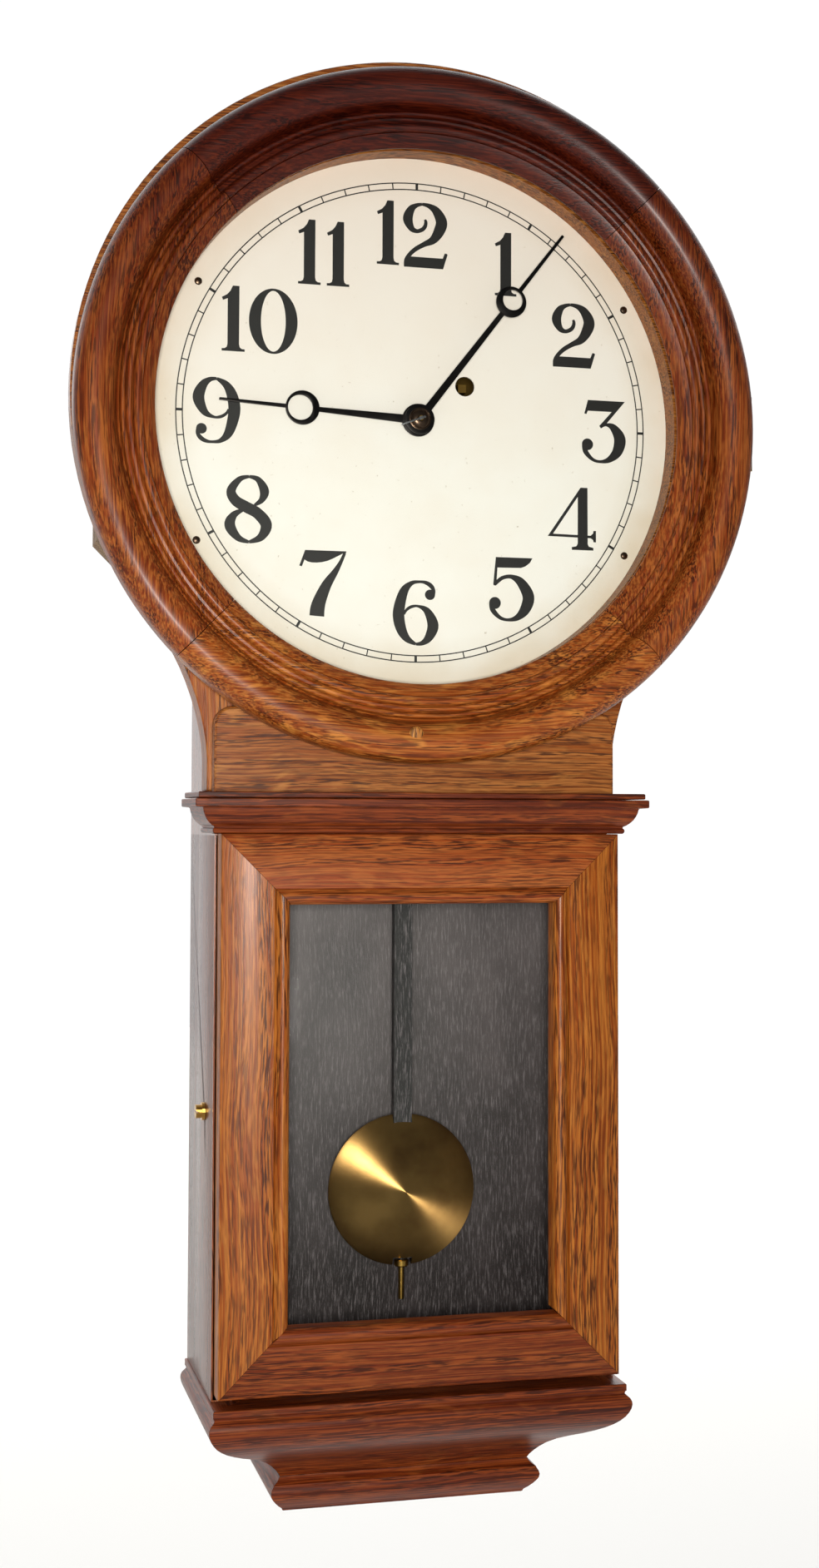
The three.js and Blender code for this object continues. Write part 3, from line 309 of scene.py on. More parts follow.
# Red oak, plain and quarter sawn, stained red-brown and varnished: dark pores and pale rays under a soft
# sheen. The grain's axis comes first in order.
def oakMaterial(name, order, dark, mid, light, fleck, pore="#2e0d03", gloss=0.38, coat=0.08, rays=0.35,
                topShade=0.0):
    material, tree, shader = newMaterial(name)
    broad = noise(tree, stretched(tree, order, perMetre(oakGrain["cloud"]), 0.008), 4.0, 0.6)
    growth = noise(tree, stretched(tree, order, perMetre(oakGrain["rings"]), 0.01), 3.0, 0.6)
    band = noise(tree, stretched(tree, order, perMetre(oakGrain["bands"]), 0.008), 2.0)
    pores = noise(tree, stretched(tree, order, perMetre(oakGrain["pores"]), 0.01), 2.0)
    silver = noise(tree, stretched(tree, order, perMetre(oakGrain["rays"]), 0.05), 2.0)
    base = mixColour(tree, ramp(tree, broad, [(0.3, 0.15), (0.56, 1.0)]), dark, mid)
    base = mixColour(tree, ramp(tree, growth, [(0.42, 0.0), (0.6, 0.9)]), base, light)
    base = mixColour(tree, ramp(tree, silver, [(0.58, 0.0), (0.68, rays)]), base, fleck)
    early = ramp(tree, band, [(0.4, 0.35), (0.6, 1.0)])
    poreMask = mixColour(tree, 1.0, ramp(tree, pores, [(0.46, 0.0), (0.57, 0.85)]), early, "MULTIPLY")
    base = mixColour(tree, poreMask, base, pore)
    if topShade:  # painted shade: darker toward the top of the round head, where the light from below falls less
        height = addNode(tree, "ShaderNodeSeparateXYZ",
                         {0: addNode(tree, "ShaderNodeTexCoord").outputs["Object"]})
        heightRamp = addNode(tree, "ShaderNodeMapRange", {0: height.outputs["Z"], 1: -0.04, 2: 0.15, 3: 0.0,
                                                    4: topShade})
        base = mixColour(tree, heightRamp.outputs[0], base, "#8a4a38", "MULTIPLY")
    tree.links.new(base, shader.inputs["Base Color"])
    bump = addNode(tree, "ShaderNodeBump", {"Height": poreMask, "Strength": 0.3, "Distance": 0.0002},
                   invert=True)
    tree.links.new(bump.outputs[0], shader.inputs["Normal"])
    rough = addNode(tree, "ShaderNodeMapRange", {0: broad, 3: gloss - 0.06, 4: gloss + 0.1})
    tree.links.new(rough.outputs[0], shader.inputs["Roughness"])
    shader.inputs["Coat Weight"].default_value = coat
    shader.inputs["Coat Roughness"].default_value = 0.2
    shader.inputs["Specular IOR Level"].default_value = 0.24
    return material


acrossX, upZ, inY = ("X", "Z", "Y"), ("Z", "X", "Y"), ("Y", "Z", "X")
# One stained oak in lit and shaded copies for the bezel: painted shade darkens the top segment and, toward
# the top, the sides; painted light brightens the bottom segment.
oakTorusTopShaded = oakMaterial("stained_oak_bezel_top_painted_shade", acrossX, "#42140a", "#6a2a12", "#8c4622", "#96522a",
                          rays=0.2, topShade=0.9)
oakTorusSideShaded = oakMaterial("stained_oak_bezel_side_painted_shade", upZ, "#5c1f06", "#86380f", "#a86028", "#b46a2e",
                           topShade=0.9)
oakTorusLowLit = oakMaterial("stained_oak_bezel_bottom_painted_light", acrossX, "#6a2906", "#924411", "#b46c2e", "#c98238",
                          rays=0.7)
oakRail = oakMaterial("stained_oak_rail", acrossX, "#692605", "#8c3e12", "#a9602a", "#b56c30")
oakRailLow = oakMaterial("stained_oak_low_rail", acrossX, "#531a04", "#732d0b", "#90491d", "#9c5424")
oakStile = oakMaterial("stained_oak_stile", upZ, "#752f05", "#954a10", "#b6702a", "#c07c34")
oakNeck = oakMaterial("stained_oak_neck", acrossX, "#6a3007", "#8c4914", "#ad6e34", "#bb7d3a", rays=0.55)
oakDark = oakMaterial("dark_stained_oak_moulding", acrossX, "#401304", "#602207", "#883f16", "#954f20")
oakDarkSide = oakMaterial("dark_stained_oak_return", inY, "#401304", "#602207", "#883f16", "#954f20")
oakSide = oakMaterial("stained_oak_case_side", upZ, "#6a3018", "#824424", "#935634", "#9c6238", gloss=0.26,
                      coat=0.5)
oakPlain = oakMaterial("unstained_inner_oak", upZ, "#6b4a2c", "#8a6a44", "#a4845a", "#b0905f", gloss=0.6,
                       coat=0.0)


# Black paint brushed thinly over a veneered board and patchily lighter toward the top, so the grain still
# catches light.
def blackBoardMaterial(name, dark, light, topTone, order=upZ, gloss=0.5):
    material, tree, shader = newMaterial(name)
    fine = noise(tree, stretched(tree, order, perMetre(brushedPaint["streaks"]), 0.01), 4.0, 0.8)
    cloud = noise(tree, stretched(tree, order, perMetre(brushedPaint["cloud"])), 4.0)
    height = addNode(tree, "ShaderNodeSeparateXYZ",
                     {0: addNode(tree, "ShaderNodeTexCoord").outputs["Object"]})
    heightRamp = addNode(tree, "ShaderNodeMapRange", {0: height.outputs["Z"], 1: -0.5, 2: -0.24, 3: 0.0, 4: 0.8})
    patchy = addNode(tree, "ShaderNodeMath", {0: heightRamp.outputs[0], 1: cloud}, operation="MULTIPLY")
    base = mixColour(tree, ramp(tree, cloud, [(0.3, 0.0), (0.7, 1.0)]), dark, light)
    base = mixColour(tree, patchy.outputs[0], base, topTone)
    base = mixColour(tree, ramp(tree, fine, [(0.5, 0.0), (0.68, 0.7)]), base, "#8a8184")
    tree.links.new(base, shader.inputs["Base Color"])
    rough = addNode(tree, "ShaderNodeMapRange", {0: fine, 3: gloss - 0.1, 4: gloss + 0.15})
    tree.links.new(rough.outputs[0], shader.inputs["Roughness"])
    bump = addNode(tree, "ShaderNodeBump", {"Height": fine, "Strength": 0.7, "Distance": 0.0003})
    tree.links.new(bump.outputs[0], shader.inputs["Normal"])
    return material


blackBoard = blackBoardMaterial("brushed_black_paint_on_board", "#1f1919", "#342c2d", "#857b7c")
blackRod = blackBoardMaterial("black_painted_wood_rod", "#100e0e", "#1c1a1a", "#282525", gloss=0.6)


# Enamel paint on sheet zinc, cream with age, a little yellow toward the rim, with painted shade toward the
# top.
def dialMaterial():
    material, tree, shader = newMaterial("aged_cream_enamel_dial")
    spot = addNode(tree, "ShaderNodeTexCoord").outputs["Object"]
    flat = addNode(tree, "ShaderNodeVectorMath", {0: spot, 1: (1, 0, 1)}, operation="MULTIPLY")
    radius = addNode(tree, "ShaderNodeVectorMath", {0: flat.outputs[0]},
                     operation="LENGTH").outputs["Value"]
    rim = addNode(tree, "ShaderNodeMapRange", {0: radius, 1: 0.125, 2: 0.153, 3: 0.0, 4: 1.0})
    stain = addNode(tree, "ShaderNodeTexNoise", {"Vector": spot, "Scale": 28.0, "Detail": 6.0})
    specks = addNode(tree, "ShaderNodeTexNoise", {"Vector": spot, "Scale": 420.0, "Detail": 2.0})
    base = mixColour(tree, ramp(tree, stain.outputs["Fac"], [(0.35, 0.0), (0.75, 0.6)]), "#fffaf3",
                     "#faf0e4")
    base = mixColour(tree, ramp(tree, specks.outputs["Fac"], [(0.7, 0.0), (0.78, 0.5)]), base, "#a08a68")
    aged = addNode(tree, "ShaderNodeMath", {0: rim.outputs[0], 1: stain.outputs["Fac"]},
                   operation="MULTIPLY")
    base = mixColour(tree, aged.outputs[0], base, "#d8c39f")
    # Painted shade: the enamel darkens toward the top, where the low light falls off.
    height = addNode(tree, "ShaderNodeSeparateXYZ", {0: spot}).outputs["Z"]
    upperShade = addNode(tree, "ShaderNodeMapRange", {0: height, 1: -0.04, 2: 0.16, 3: 0.0, 4: 0.8})
    base = mixColour(tree, upperShade.outputs[0], base, "#f3e0d4")
    tree.links.new(base, shader.inputs["Base Color"])
    shader.inputs["Roughness"].default_value = 0.45
    bump = addNode(tree, "ShaderNodeBump", {"Height": stain.outputs["Fac"], "Strength": 0.1,
                                            "Distance": 0.001})
    tree.links.new(bump.outputs[0], shader.inputs["Normal"])
    return material


# Polished and lacquered brass with patches of olive tarnish; spun pieces pull the light into a streak.
def brassMaterial(name, light, dark, rough=0.28, spun=0.0):
    material, tree, shader = newMaterial(name)
    spot = addNode(tree, "ShaderNodeTexCoord").outputs["Object"]
    cloud = addNode(tree, "ShaderNodeTexNoise", {"Vector": spot, "Scale": 34.0, "Detail": 5.0})
    fine = addNode(tree, "ShaderNodeTexNoise", {"Vector": spot, "Scale": 900.0, "Detail": 2.0})
    base = mixColour(tree, ramp(tree, cloud.outputs["Fac"], [(0.35, 0.0), (0.7, 1.0)]), light, dark)
    tree.links.new(base, shader.inputs["Base Color"])
    shader.inputs["Metallic"].default_value = 1.0
    spread = addNode(tree, "ShaderNodeMapRange", {0: cloud.outputs["Fac"], 3: rough - 0.06,
                                                  4: rough + 0.12})
    tree.links.new(spread.outputs[0], shader.inputs["Roughness"])
    bump = addNode(tree, "ShaderNodeBump", {"Height": fine.outputs["Fac"], "Strength": 0.06,
                                            "Distance": 0.0001})
    tree.links.new(bump.outputs[0], shader.inputs["Normal"])
    if spun:
        shader.inputs["Anisotropic"].default_value = spun
        arm = addNode(tree, "ShaderNodeVectorMath", {0: spot, 1: (0, 0, bob["z"] / 1000)},
                      operation="SUBTRACT")
        level = addNode(tree, "ShaderNodeVectorMath", {0: arm.outputs[0], 1: (1, 0, 1)},
                        operation="MULTIPLY")
        tangent = addNode(tree, "ShaderNodeVectorMath", {0: level.outputs[0]}, operation="NORMALIZE")
        tree.links.new(tangent.outputs[0], shader.inputs["Tangent"])
    return material


# Steel: drawn, cast or blued, told apart by colour and roughness.
def metalMaterial(name, light, dark, rough, metallic=1.0, grain=300.0, lift=0.1):
    material, tree, shader = newMaterial(name)
    spot = addNode(tree, "ShaderNodeTexCoord").outputs["Object"]
    cloud = addNode(tree, "ShaderNodeTexNoise", {"Vector": spot, "Scale": grain, "Detail": 4.0})
    tree.links.new(mixColour(tree, cloud.outputs["Fac"], light, dark), shader.inputs["Base Color"])
    shader.inputs["Metallic"].default_value = metallic
    spread = addNode(tree, "ShaderNodeMapRange", {0: cloud.outputs["Fac"], 3: rough - 0.08,
                                                  4: rough + 0.12})
    tree.links.new(spread.outputs[0], shader.inputs["Roughness"])
    bump = addNode(tree, "ShaderNodeBump", {"Height": cloud.outputs["Fac"], "Strength": lift,
                                            "Distance": 0.0002})
    tree.links.new(bump.outputs[0], shader.inputs["Normal"])
    return material


# Thin old window glass: clear, with a faint reflection that the shader alone makes.
def glassMaterial():
    material, tree, shader = newMaterial("thin_sheet_glass")
    spot = addNode(tree, "ShaderNodeTexCoord").outputs["Object"]
    wave = addNode(tree, "ShaderNodeTexNoise", {"Vector": spot, "Scale": 12.0, "Detail": 1.0})
    bump = addNode(tree, "ShaderNodeBump", {"Height": wave.outputs["Fac"], "Strength": 0.05,
                                            "Distance": 0.001})
    gloss = addNode(tree, "ShaderNodeBsdfGlossy", {"Roughness": 0.03, "Normal": bump.outputs[0]})
    clear = addNode(tree, "ShaderNodeBsdfTransparent", {"Color": linear("#fbfdfc")})
    edge = addNode(tree, "ShaderNodeFresnel", {"IOR": 1.04})
    mix = addNode(tree, "ShaderNodeMixShader", {0: edge.outputs[0], 1: clear.outputs[0],
                                                2: gloss.outputs[0]})
    tree.links.new(mix.outputs[0], tree.nodes["Material Output"].inputs["Surface"])
    tree.nodes.remove(shader)
    return material


brass = brassMaterial("lacquered_brass", "#c19a4e", "#8f6c34")
bobBrass = brassMaterial("spun_brass_with_tarnish", "#b08a52", "#7c5c36", rough=0.33, spun=1.0)
steel = metalMaterial("drawn_steel", "#a3a4a6", "#7c7d80", 0.32)
blued = metalMaterial("blued_black_steel", "#141317", "#26221f", 0.35, 0.85, 160.0)
nutMetal = metalMaterial("browned_steel_nut", "#6a5647", "#3b2f28", 0.28, 1.0, 200.0)
iron = metalMaterial("rough_cast_iron", "#4a4846", "#2c2a29", 0.6, 0.7, 500.0, 0.5)
ink = metalMaterial("printed_black_ink", "#131110", "#1d1a18", 0.5, 0.0, 900.0, 0.2)
enamel = dialMaterial()
glass = glassMaterial()
print("stage: materials")


slotMaterials = {
    "oak": oakStile, "oak_inside": oakPlain, "black_painted_wood": blackBoard, "glass": glass,
                 "brass": brass,
    "steel": steel, "blued_steel": blued, "iron": iron, "dial_paint": enamel,
}
slotOf = {part["node"]: part["material_slot"] for part in frame["record"]["subparts"]}
for nodeName, node in frame["nodes"].items():
    node.data.materials.clear()
    node.data.materials.append(slotMaterials[slotOf[nodeName]])
    for polygon in node.data.polygons:
        polygon.use_smooth = False


bezel = {"back": 100.3, "front": 120.5, "radius": 197.3, "gapDegrees": 0.07}


def bezelProfile():
    r, back, front = dial["opening"], bezel["back"], bezel["front"]
    inner = r + 21.8
    half = (bezel["radius"] - inner) / 2
    middle = inner + half
    profile = [(r + 4.8, back), (r + 4.8, back + 3.6), (r + 0.5, back + 3.6), (r, back + 4.1),
               (r, front - 15)]
    profile += [(r + 0.6, front - 14.1), (r + 6.4, front - 9.9), (r + 7.0, front - 9.7),
                (r + 7.3, front - 10.4)]
    profile += arcPoints(r + 10.1, front - 10, 2.6, 2.7, 172, 8, 10)
    profile += [(r + 13, front - 11.6), (r + 13.7, front - 12.6), (r + 15, front - 12.9),
                (r + 16.1, front - 12.3)]
    profile += arcPoints(r + 18.1, front - 11.4, 1.6, 2.2, 165, 5, 8)
    profile += [(r + 20.1, front - 12.6), (r + 20.9, front - 13.3)]
    profile += arcPoints(middle, front - half, half, half, 176, 0, 28)
    profile += [(bezel["radius"], back + 0.6), (bezel["radius"] - 0.5, back)]
    return profile


def makeBezelSegment():
    start = math.radians(-45 + bezel["gapDegrees"])
    points = [Vector((r * math.cos(start), -depth, r * math.sin(start))) / 1000 for r,
              depth in bezelProfile()]
    obj = traceFace("bezel_oak_right", points)
    bpy.ops.mesh.spin(steps=44, angle=math.radians(90 - 2 * bezel["gapDegrees"]), center=(0, 0, 0),
                      axis=(0, 1, 0))
    return closeUp(obj, 22)


bezelRight = makeBezelSegment()
segments = [
    (bezelRight, oakTorusSideShaded, "bezel_right"),
    (copyTurned(bezelRight, "bezel_oak_top", -90), oakTorusTopShaded, "bezel_top"),
    (copyTurned(bezelRight, "bezel_oak_left", 180), oakTorusSideShaded, "bezel_left"),
    (copyTurned(bezelRight, "bezel_oak_bottom", 90), oakTorusLowLit, "bezel_bottom"),
]
for segment, material, node in segments:
    place(segment, material, "bezel", "oak", node)

plug = turnPiece("bezel_wood_plug", [(0, 113), (4, 113), (4, 114.4), (3.2, 115), (0, 115.2)], (-8, -181),
                 24)
plug.data.transform(Matrix.Translation(mm(0, 5.2, 0)))
plugWood = oakMaterial("lighter_oak_plug", upZ, "#9a5a22", "#b87a34", "#c98c44", "#d39a50")
place(plug, plugWood, "bezel", "oak")

def makeBezelHingeLeaf():
    deselectAll()
    bpy.ops.mesh.primitive_cylinder_add(vertices=24, radius=0.0013, depth=0.0144, location=mm(200.2, 100.15,
                                                                                              0))
    knuckle = settle(bpy.context.object)
    leaf = boxPiece("leaf", (197.6, 101.3, -21.8), (198.2, 104.2, 21.8), 0.15)
    web = boxPiece("web", (197.7, 100.9, -7.2), (200.2, 101.6, 7.2), 0.1)
    return joinAll("bezel_hinge_brass_leaf", [leaf, web, knuckle])


place(makeBezelHingeLeaf(), brass, "bezel", "brass", "bezel_hinge_leaf")

bezelGlass = turnPiece("bezel_sheet_glass", [(0, 101.4), (156, 101.4), (156, 103.4), (0, 103.4)], steps=96)
place(bezelGlass, glass, "bezel", "glass", "bezel_glass")
print("stage: bezel")


headRing = {"back": 86.3, "front": 100, "radius": 198, "rebate": 160, "hole": 152.7, "ease": 0.6}


def makeHeadRing():
    back, front, radius, ease = [headRing[key] for key in ("back", "front", "radius", "ease")]
    centre = (0, dial["lift"])
    profile = [(headRing["rebate"], back), (radius - ease, back), (radius, back + ease),
               (radius, front - ease),
               (radius - ease, front), (headRing["rebate"], front)]
    ring = turnPiece("head_ring_rim", profile, centre, 128)
    cutter = punch(headRing["hole"], 50, mm(0, 93, 0), 128)
    inside = headRing["rebate"] + 1
    obj = turnPiece("head_ring_oak", [(0, back), (inside, back), (inside, front), (0, front)], centre, 128)
    combine(obj, cutter)
    combine(obj, ring, "UNION")
    bpy.ops.object.shade_smooth_by_angle(angle=math.radians(30))
    return obj


place(makeHeadRing(), oakNeck, "case", "oak", "head_ring")

earOutline = [(92, -212.8), (119.3, -212.8), (119.2, -195), (119.9, -186), (121.2, -178), (123.2, -169),
              (125.8, -160),
              (129, -151), (132.4, -143), (136.4, -135), (140.6, -127.6), (143.3, -121), (143.3, -104),
              (127, -118),
              (110, -135), (92, -152)]
earRight = board("ear_oak_right", earOutline, 64, 84, 0.9)
earLeft = mirrored(earRight, "ear_oak_left")
place(earRight, oakNeck, "case", "oak", "ear_right")
place(earLeft, oakStile, "case", "oak", "ear_left")


def neckOutline():
    rim = [(x, dial["lift"] - math.sqrt(198.4**2 - x * x)) for x in range(100, -101, -5)]
    right = [(116.8, -236), (116.8, -177)]
    corner = arcPoints(106, -176.5, 10.8, 10.8, 0, 78, 7)[1:]
    return right + corner + rim + [(-x, z) for x, z in reversed(right + corner)]


neck = board("neck_panel_oak", neckOutline(), 84.3, 94, 1.6)
place(neck, oakNeck, "case", "oak", "neck_panel")


corniceFace = [(0.4, -217), (0, -217.5), (0, -221), (0.4, -221.5), (4.2, -221.9), (4.7, -222.4),
               (5.1, -224.4),
               (5.9, -226.4), (7.0, -228.4), (8.6, -230.2), (10.4, -231.6), (11.6, -232.2), (11.9, -233),
               (11.2, -233.6),
               (10.9, -234.6), (11.2, -235.6), (11.9, -236.2)]
cornice = {"half": 130.0, "front": 117.0, "inset": 12.8, "capInset": 22.7, "returnEnd": 60.0}


# The face of a moulding closed by a flat back, at this inset.
def closedFace(face, inset):
    return face + [(inset, face[-1][1]), (inset, face[0][1])]


# A front length and two returns, mitred at the corners with a hair gap.
def mouldingSet(prefix, face, half, front, frontInset, sideInset, end):
    turn = mm(half, front, 0)
    diagonal = Vector((1, 1, 0)).normalized()
    mirror = Vector((-1, 1, 0)).normalized()
    flip = Vector((-turn.x, turn.y, 0))
    frontSection = [mm(0, front - d, z) for d, z in closedFace(face, frontInset)]
    sideSection = [mm(half - d, 0, z) for d, z in closedFace(face, sideInset)]
    ahead = stick(prefix + "_front", frontSection, mm(-half - 1, 0, 0), mm(half + 1, 0, 0),
                  ((turn - hair, diagonal), (flip + hair, mirror)))
    right = stick(prefix + "_right", sideSection, mm(0, end, 0), mm(0, front + 1, 0),
                  ((turn + hair, -diagonal),))
    return ahead, mirrored(right, prefix + "_left"), right


corniceParts = mouldingSet("cornice_oak", corniceFace, cornice["half"], cornice["front"], cornice["inset"],
                           cornice["inset"], cornice["returnEnd"])
for obj, material, node in zip(corniceParts, (oakDark, oakDarkSide, oakDarkSide),
                               ("cornice_front", "cornice_left", "cornice_right")):
    roundEdges(obj, 0.25, 1, 50)
    place(obj, material, "case", "oak", node)
capFace = [(2.3, -213.4), (1.8, -213.9), (1.8, -216.2), (2.2, -216.6)]
cap = mouldingSet("cornice_cap_oak", capFace, cornice["half"], cornice["front"], cornice["capInset"],
                  cornice["inset"], cornice["returnEnd"])
place(cap[0], oakDark, "case", "oak", "cornice_cap")
for obj in cap[1:]:
    place(obj, oakDarkSide, "case", "oak")
print("stage: head and cornice")


case = {"half": 116, "board": 12, "front": 93, "top": -236.5, "bottom": -545.7}
sideBoard = boxPiece("case_side_oak_right", (case["half"] - case["board"], 0, case["bottom"]),
                     (case["half"], case["front"], case["top"]), 0.9)
place(mirrored(sideBoard, "case_side_oak_left"), oakSide, "case", "oak")
place(sideBoard, oakSide, "case", "oak")
for side in ("left", "right"):
    frame["nodes"]["case_side_" + side].data.materials[0] = oakSide


baseFace = [(3.0, -546), (2.6, -546.4), (2.6, -549.6), (3.2, -550.3), (3.4, -551.4), (2.4, -552.4),
            (1.0, -553.6),
            (0.2, -555.2), (0, -557), (0.5, -559.4), (1.5, -561.8), (3.1, -564.4), (5.3, -567),
            (8.2, -569.6),
            (12, -572.3), (16.5, -574.9), (22, -577.7), (28, -580.4), (33.5, -583.2), (38, -586.2),
            (41.6, -589.4),
            (44.3, -592.4), (46.3, -595), (47.2, -596.7)]
footFace = [(47.2, -597), (46.6, -598.4), (45.1, -599.9), (43.2, -601), (42.6, -602.2), (41.8, -603.4),
            (41.4, -605.2), (41.8, -607.2), (42.8, -608.9), (44.6, -611.2), (46.8, -613.6), (48.9, -615.4),
            (49.4, -616.6),
            (50, -617)]
base = {"half": 120.0, "front": 114.0, "inset": 75}
for prefix, face, node in (("base_oak", baseFace, "base_moulding"), ("foot_oak", footFace, "base_foot")):
    ahead, left, right = mouldingSet(prefix, face, base["half"], base["front"], base["inset"],
                                     base["inset"], 0.0)
    for obj in (left, right):
        place(obj, oakDarkSide, "case", "oak")
    place(ahead, oakDark, "case", "oak", node)


door = {"half": 114.5, "top": -236.4, "bottom": -541.6, "front": 107.9, "back": 93.3, "topRail": 30.2,
        "lowRail": 27.2, "stile": 29.8, "bead": 9}


def doorSection(rail):
    front, back, bead = door["front"], door["back"], door["bead"]
    face = [(0.0, back), (0.0, front - 1.2), (0.4, front - 0.4), (1.2, front), (rail - 0.2, front),
            (rail + 0.1, front - 1.0)]
    face += [(rail + 0.5, front - 0.6)] + arcPoints(rail + 4.6, front - 3.3, 4.2, 5.4, 145, 0, 12)
    face += [(rail + bead - 0.2, front - 6.6), (rail + bead, front - 8), (rail + bead, front - 10.6),
             (rail, front - 10.6), (rail, back)]
    return face


def makeDoor():
    half, top, bottom = door["half"], door["top"], door["bottom"]
    slope = Vector((1, 0, 1)).normalized()
    drop = Vector((1, 0, -1)).normalized()
    topLeft, topRight = mm(-half, 0, top), mm(half, 0, top)
    lowLeft, lowRight = mm(-half, 0, bottom), mm(half, 0, bottom)
    topRail = stick("door_oak_rail_top", [mm(0, d, top - u) for u, d in doorSection(door["topRail"])],
                    mm(-half - 1, 0, 0), mm(half + 1, 0, 0),
                    ((topLeft + hair, -slope), (topRight - hair, drop)))
    lowRail = stick("door_oak_rail_bottom", [mm(0, d, bottom + u) for u, d in doorSection(door["lowRail"])],
                    mm(-half - 1, 0, 0), mm(half + 1, 0, 0),
                    ((lowLeft + hair, -drop), (lowRight - hair, slope)))
    rightStile = stick("door_oak_stile_right", [mm(half - u, d, 0) for u, d in doorSection(door["stile"])],
                       mm(0, 0, bottom - 1), mm(0, 0, top + 1),
                       ((topRight + hair, -drop), (lowRight + hair, -slope)))
    return topRail, rightStile, lowRail, mirrored(rightStile, "door_oak_stile_left")


doorParts = makeDoor()
for obj, material, node in zip(doorParts, (oakRail, oakStile, oakRailLow, oakStile),
                               ("door_rail_top", "door_stile_right", "door_rail_bottom",
                                "door_stile_left")):
    place(obj, material, "door", "oak", node)
doorGlass = boxPiece("door_sheet_glass", (-84, 94.9, -514), (84, 96.9, -266.8), 0.2)
place(doorGlass, glass, "door", "glass", "door_glass")

baffle = boxPiece("black_baffle_board", (-103.7, 36, -545.7), (103.7, 40, -222), 0.3)
place(baffle, blackBoard, "case", "black_painted_wood", "baffle")
print("stage: case and door")


def makeDial():
    plate = turnPiece("dial_plate_enamel", [(0, 85), (157, 85), (157, 85.7), (156.7, 86), (0, 86)],
                      steps=128)
    combine(plate, punch(dial["keyHole"], 10, mm(*dial["keyAt"])))
    combine(plate, punch(dial["middleHole"], 10, mm(0, dial["depth"], 0)))
    return plate


place(makeDial(), enamel, "case", "dial_paint", "dial")


# Figures are cut as flat transfers. A stroke is a run of (x, z, half width) in mm, and a patch is a closed
# outline.
# A smooth line through the points, half widths included.
def smoothRun(points, steps=6):
    run = []
    for i in range(len(points) - 1):
        quad = [points[max(i - 1, 0)], points[i], points[i + 1], points[min(i + 2, len(points) - 1)]]
        for k in range(steps):
            t = k / steps
            run.append(tuple(
                0.5 * ((2 * b) + (c - a) * t + (2 * a - 5 * b + 4 * c - d) * t**2
                       + (3 * b - a - 3 * c + d) * t**3)
                for a, b, c, d in zip(*quad)))
    return run + [points[-1]]


def stroke(*points):
    run = smoothRun(points)
    left, right = [], []
    for i, (x, z, half) in enumerate(run):
        (ax, az, _), (bx, bz, _) = run[max(i - 1, 0)], run[min(i + 1, len(run) - 1)]
        length = math.hypot(bx - ax, bz - az)
        nx, nz = -(bz - az) / length * half, (bx - ax) / length * half
        left.append((x + nx, z + nz))
        right.append((x - nx, z - nz))
    return left + right[::-1]


def oval(x, z, rx, rz=None, steps=32):
    return arcPoints(x, z, rx, rz or rx, 0, 360 - 360 / steps, steps - 1)


def turned180(strokes):
    return [[(-x, -z) for x, z in outline] for outline in strokes]


one = [[(-0.4, 18.7), (3.35, 18.7), (3.3, -14.5), (3.7, -16.3), (4.8, -17.1), (6.5, -17.2), (6.5, -18.6),
        (-6.6, -18.6), (-6.6, -17.2), (-4.9, -17.1), (-3.7, -16.3), (-3.3, -14.5), (-3.3, 11.3),
        (-6.0, 10.2),
        (-6.6, 11.9), (-3.6, 13.6), (-1.7, 15.8)]]
two = [
    stroke((-0.3, 10.2, 0.7), (0.25, 8.6, 1.0), (-0.3, 6.1, 1.15), (-2.0, 4.2, 1.2), (-5.2, 3.1, 1.2),
           (-8.4, 4.7, 1.9),
           (-10.5, 10, 2.9), (-8.6, 15.5, 2.2), (-5.6, 18, 1.3), (-2, 19.1, 0.85)),
    stroke((-2, 19.1, 0.85), (2.5, 18.2, 1.5), (6.6, 15.4, 2.6), (9.6, 9.5, 3.4), (8.2, 4, 3.2),
           (4.6, -1.4, 2.3),
           (-0.5, -4.2, 1.5), (-5.5, -7.2, 1.3), (-9.2, -10.6, 1.2), (-11.4, -14.2, 1.2),
           (-12.1, -17.8, 0.7)),
    [(-12.8, -18.1), (10.6, -18.1), (13.3, -9.5), (12.9, -8.9), (11.6, -8.8), (10.4, -11.9), (-8.8, -11.9),
     (-11, -12.4)],
]
three = [
    [(-10.9, 18.3), (12.1, 18.3), (0.8, 5.0), (-2.8, 1.9), (-3.9, 3.2), (3.9, 11.9), (-11.0, 11.9),
     (-11.8, 9.9),
     (-13.1, 10.2)],
    stroke((-3.3, 2.6, 0.9), (0.5, 4.1, 0.9), (5.0, 2.4, 2.3), (8.9, -4, 3.6), (7.3, -11.5, 3.1),
           (2.4, -16.4, 1.8),
           (-3, -17.9, 0.9), (-8, -16.8, 1.0), (-12.2, -12.6, 1.5), (-13.4, -8.6, 1.3)),
    oval(-11.2, -8, 3.45),
]
four = [
    [(4.2, 21.2), (8.5, 21.2), (8.6, -11.8), (9.3, -13.4), (12.1, -14), (12.1, -15.6), (-1.2, -15.6),
     (-1.2, -14),
     (1.6, -13.4), (2.4, -11.8), (2.5, 16)],
    [(4.2, 21.2), (-15.9, -7.9), (-13.0, -6.9), (2.7, 16)],
    [(-15.9, -8.0), (10.4, -8.4), (11.9, -9.4), (12.2, -10.7), (13.7, -10.7), (13.7, -4), (12.2, -4),
     (11.9, -5.6),
     (10.4, -6.9), (-14.2, -6.5)],
]
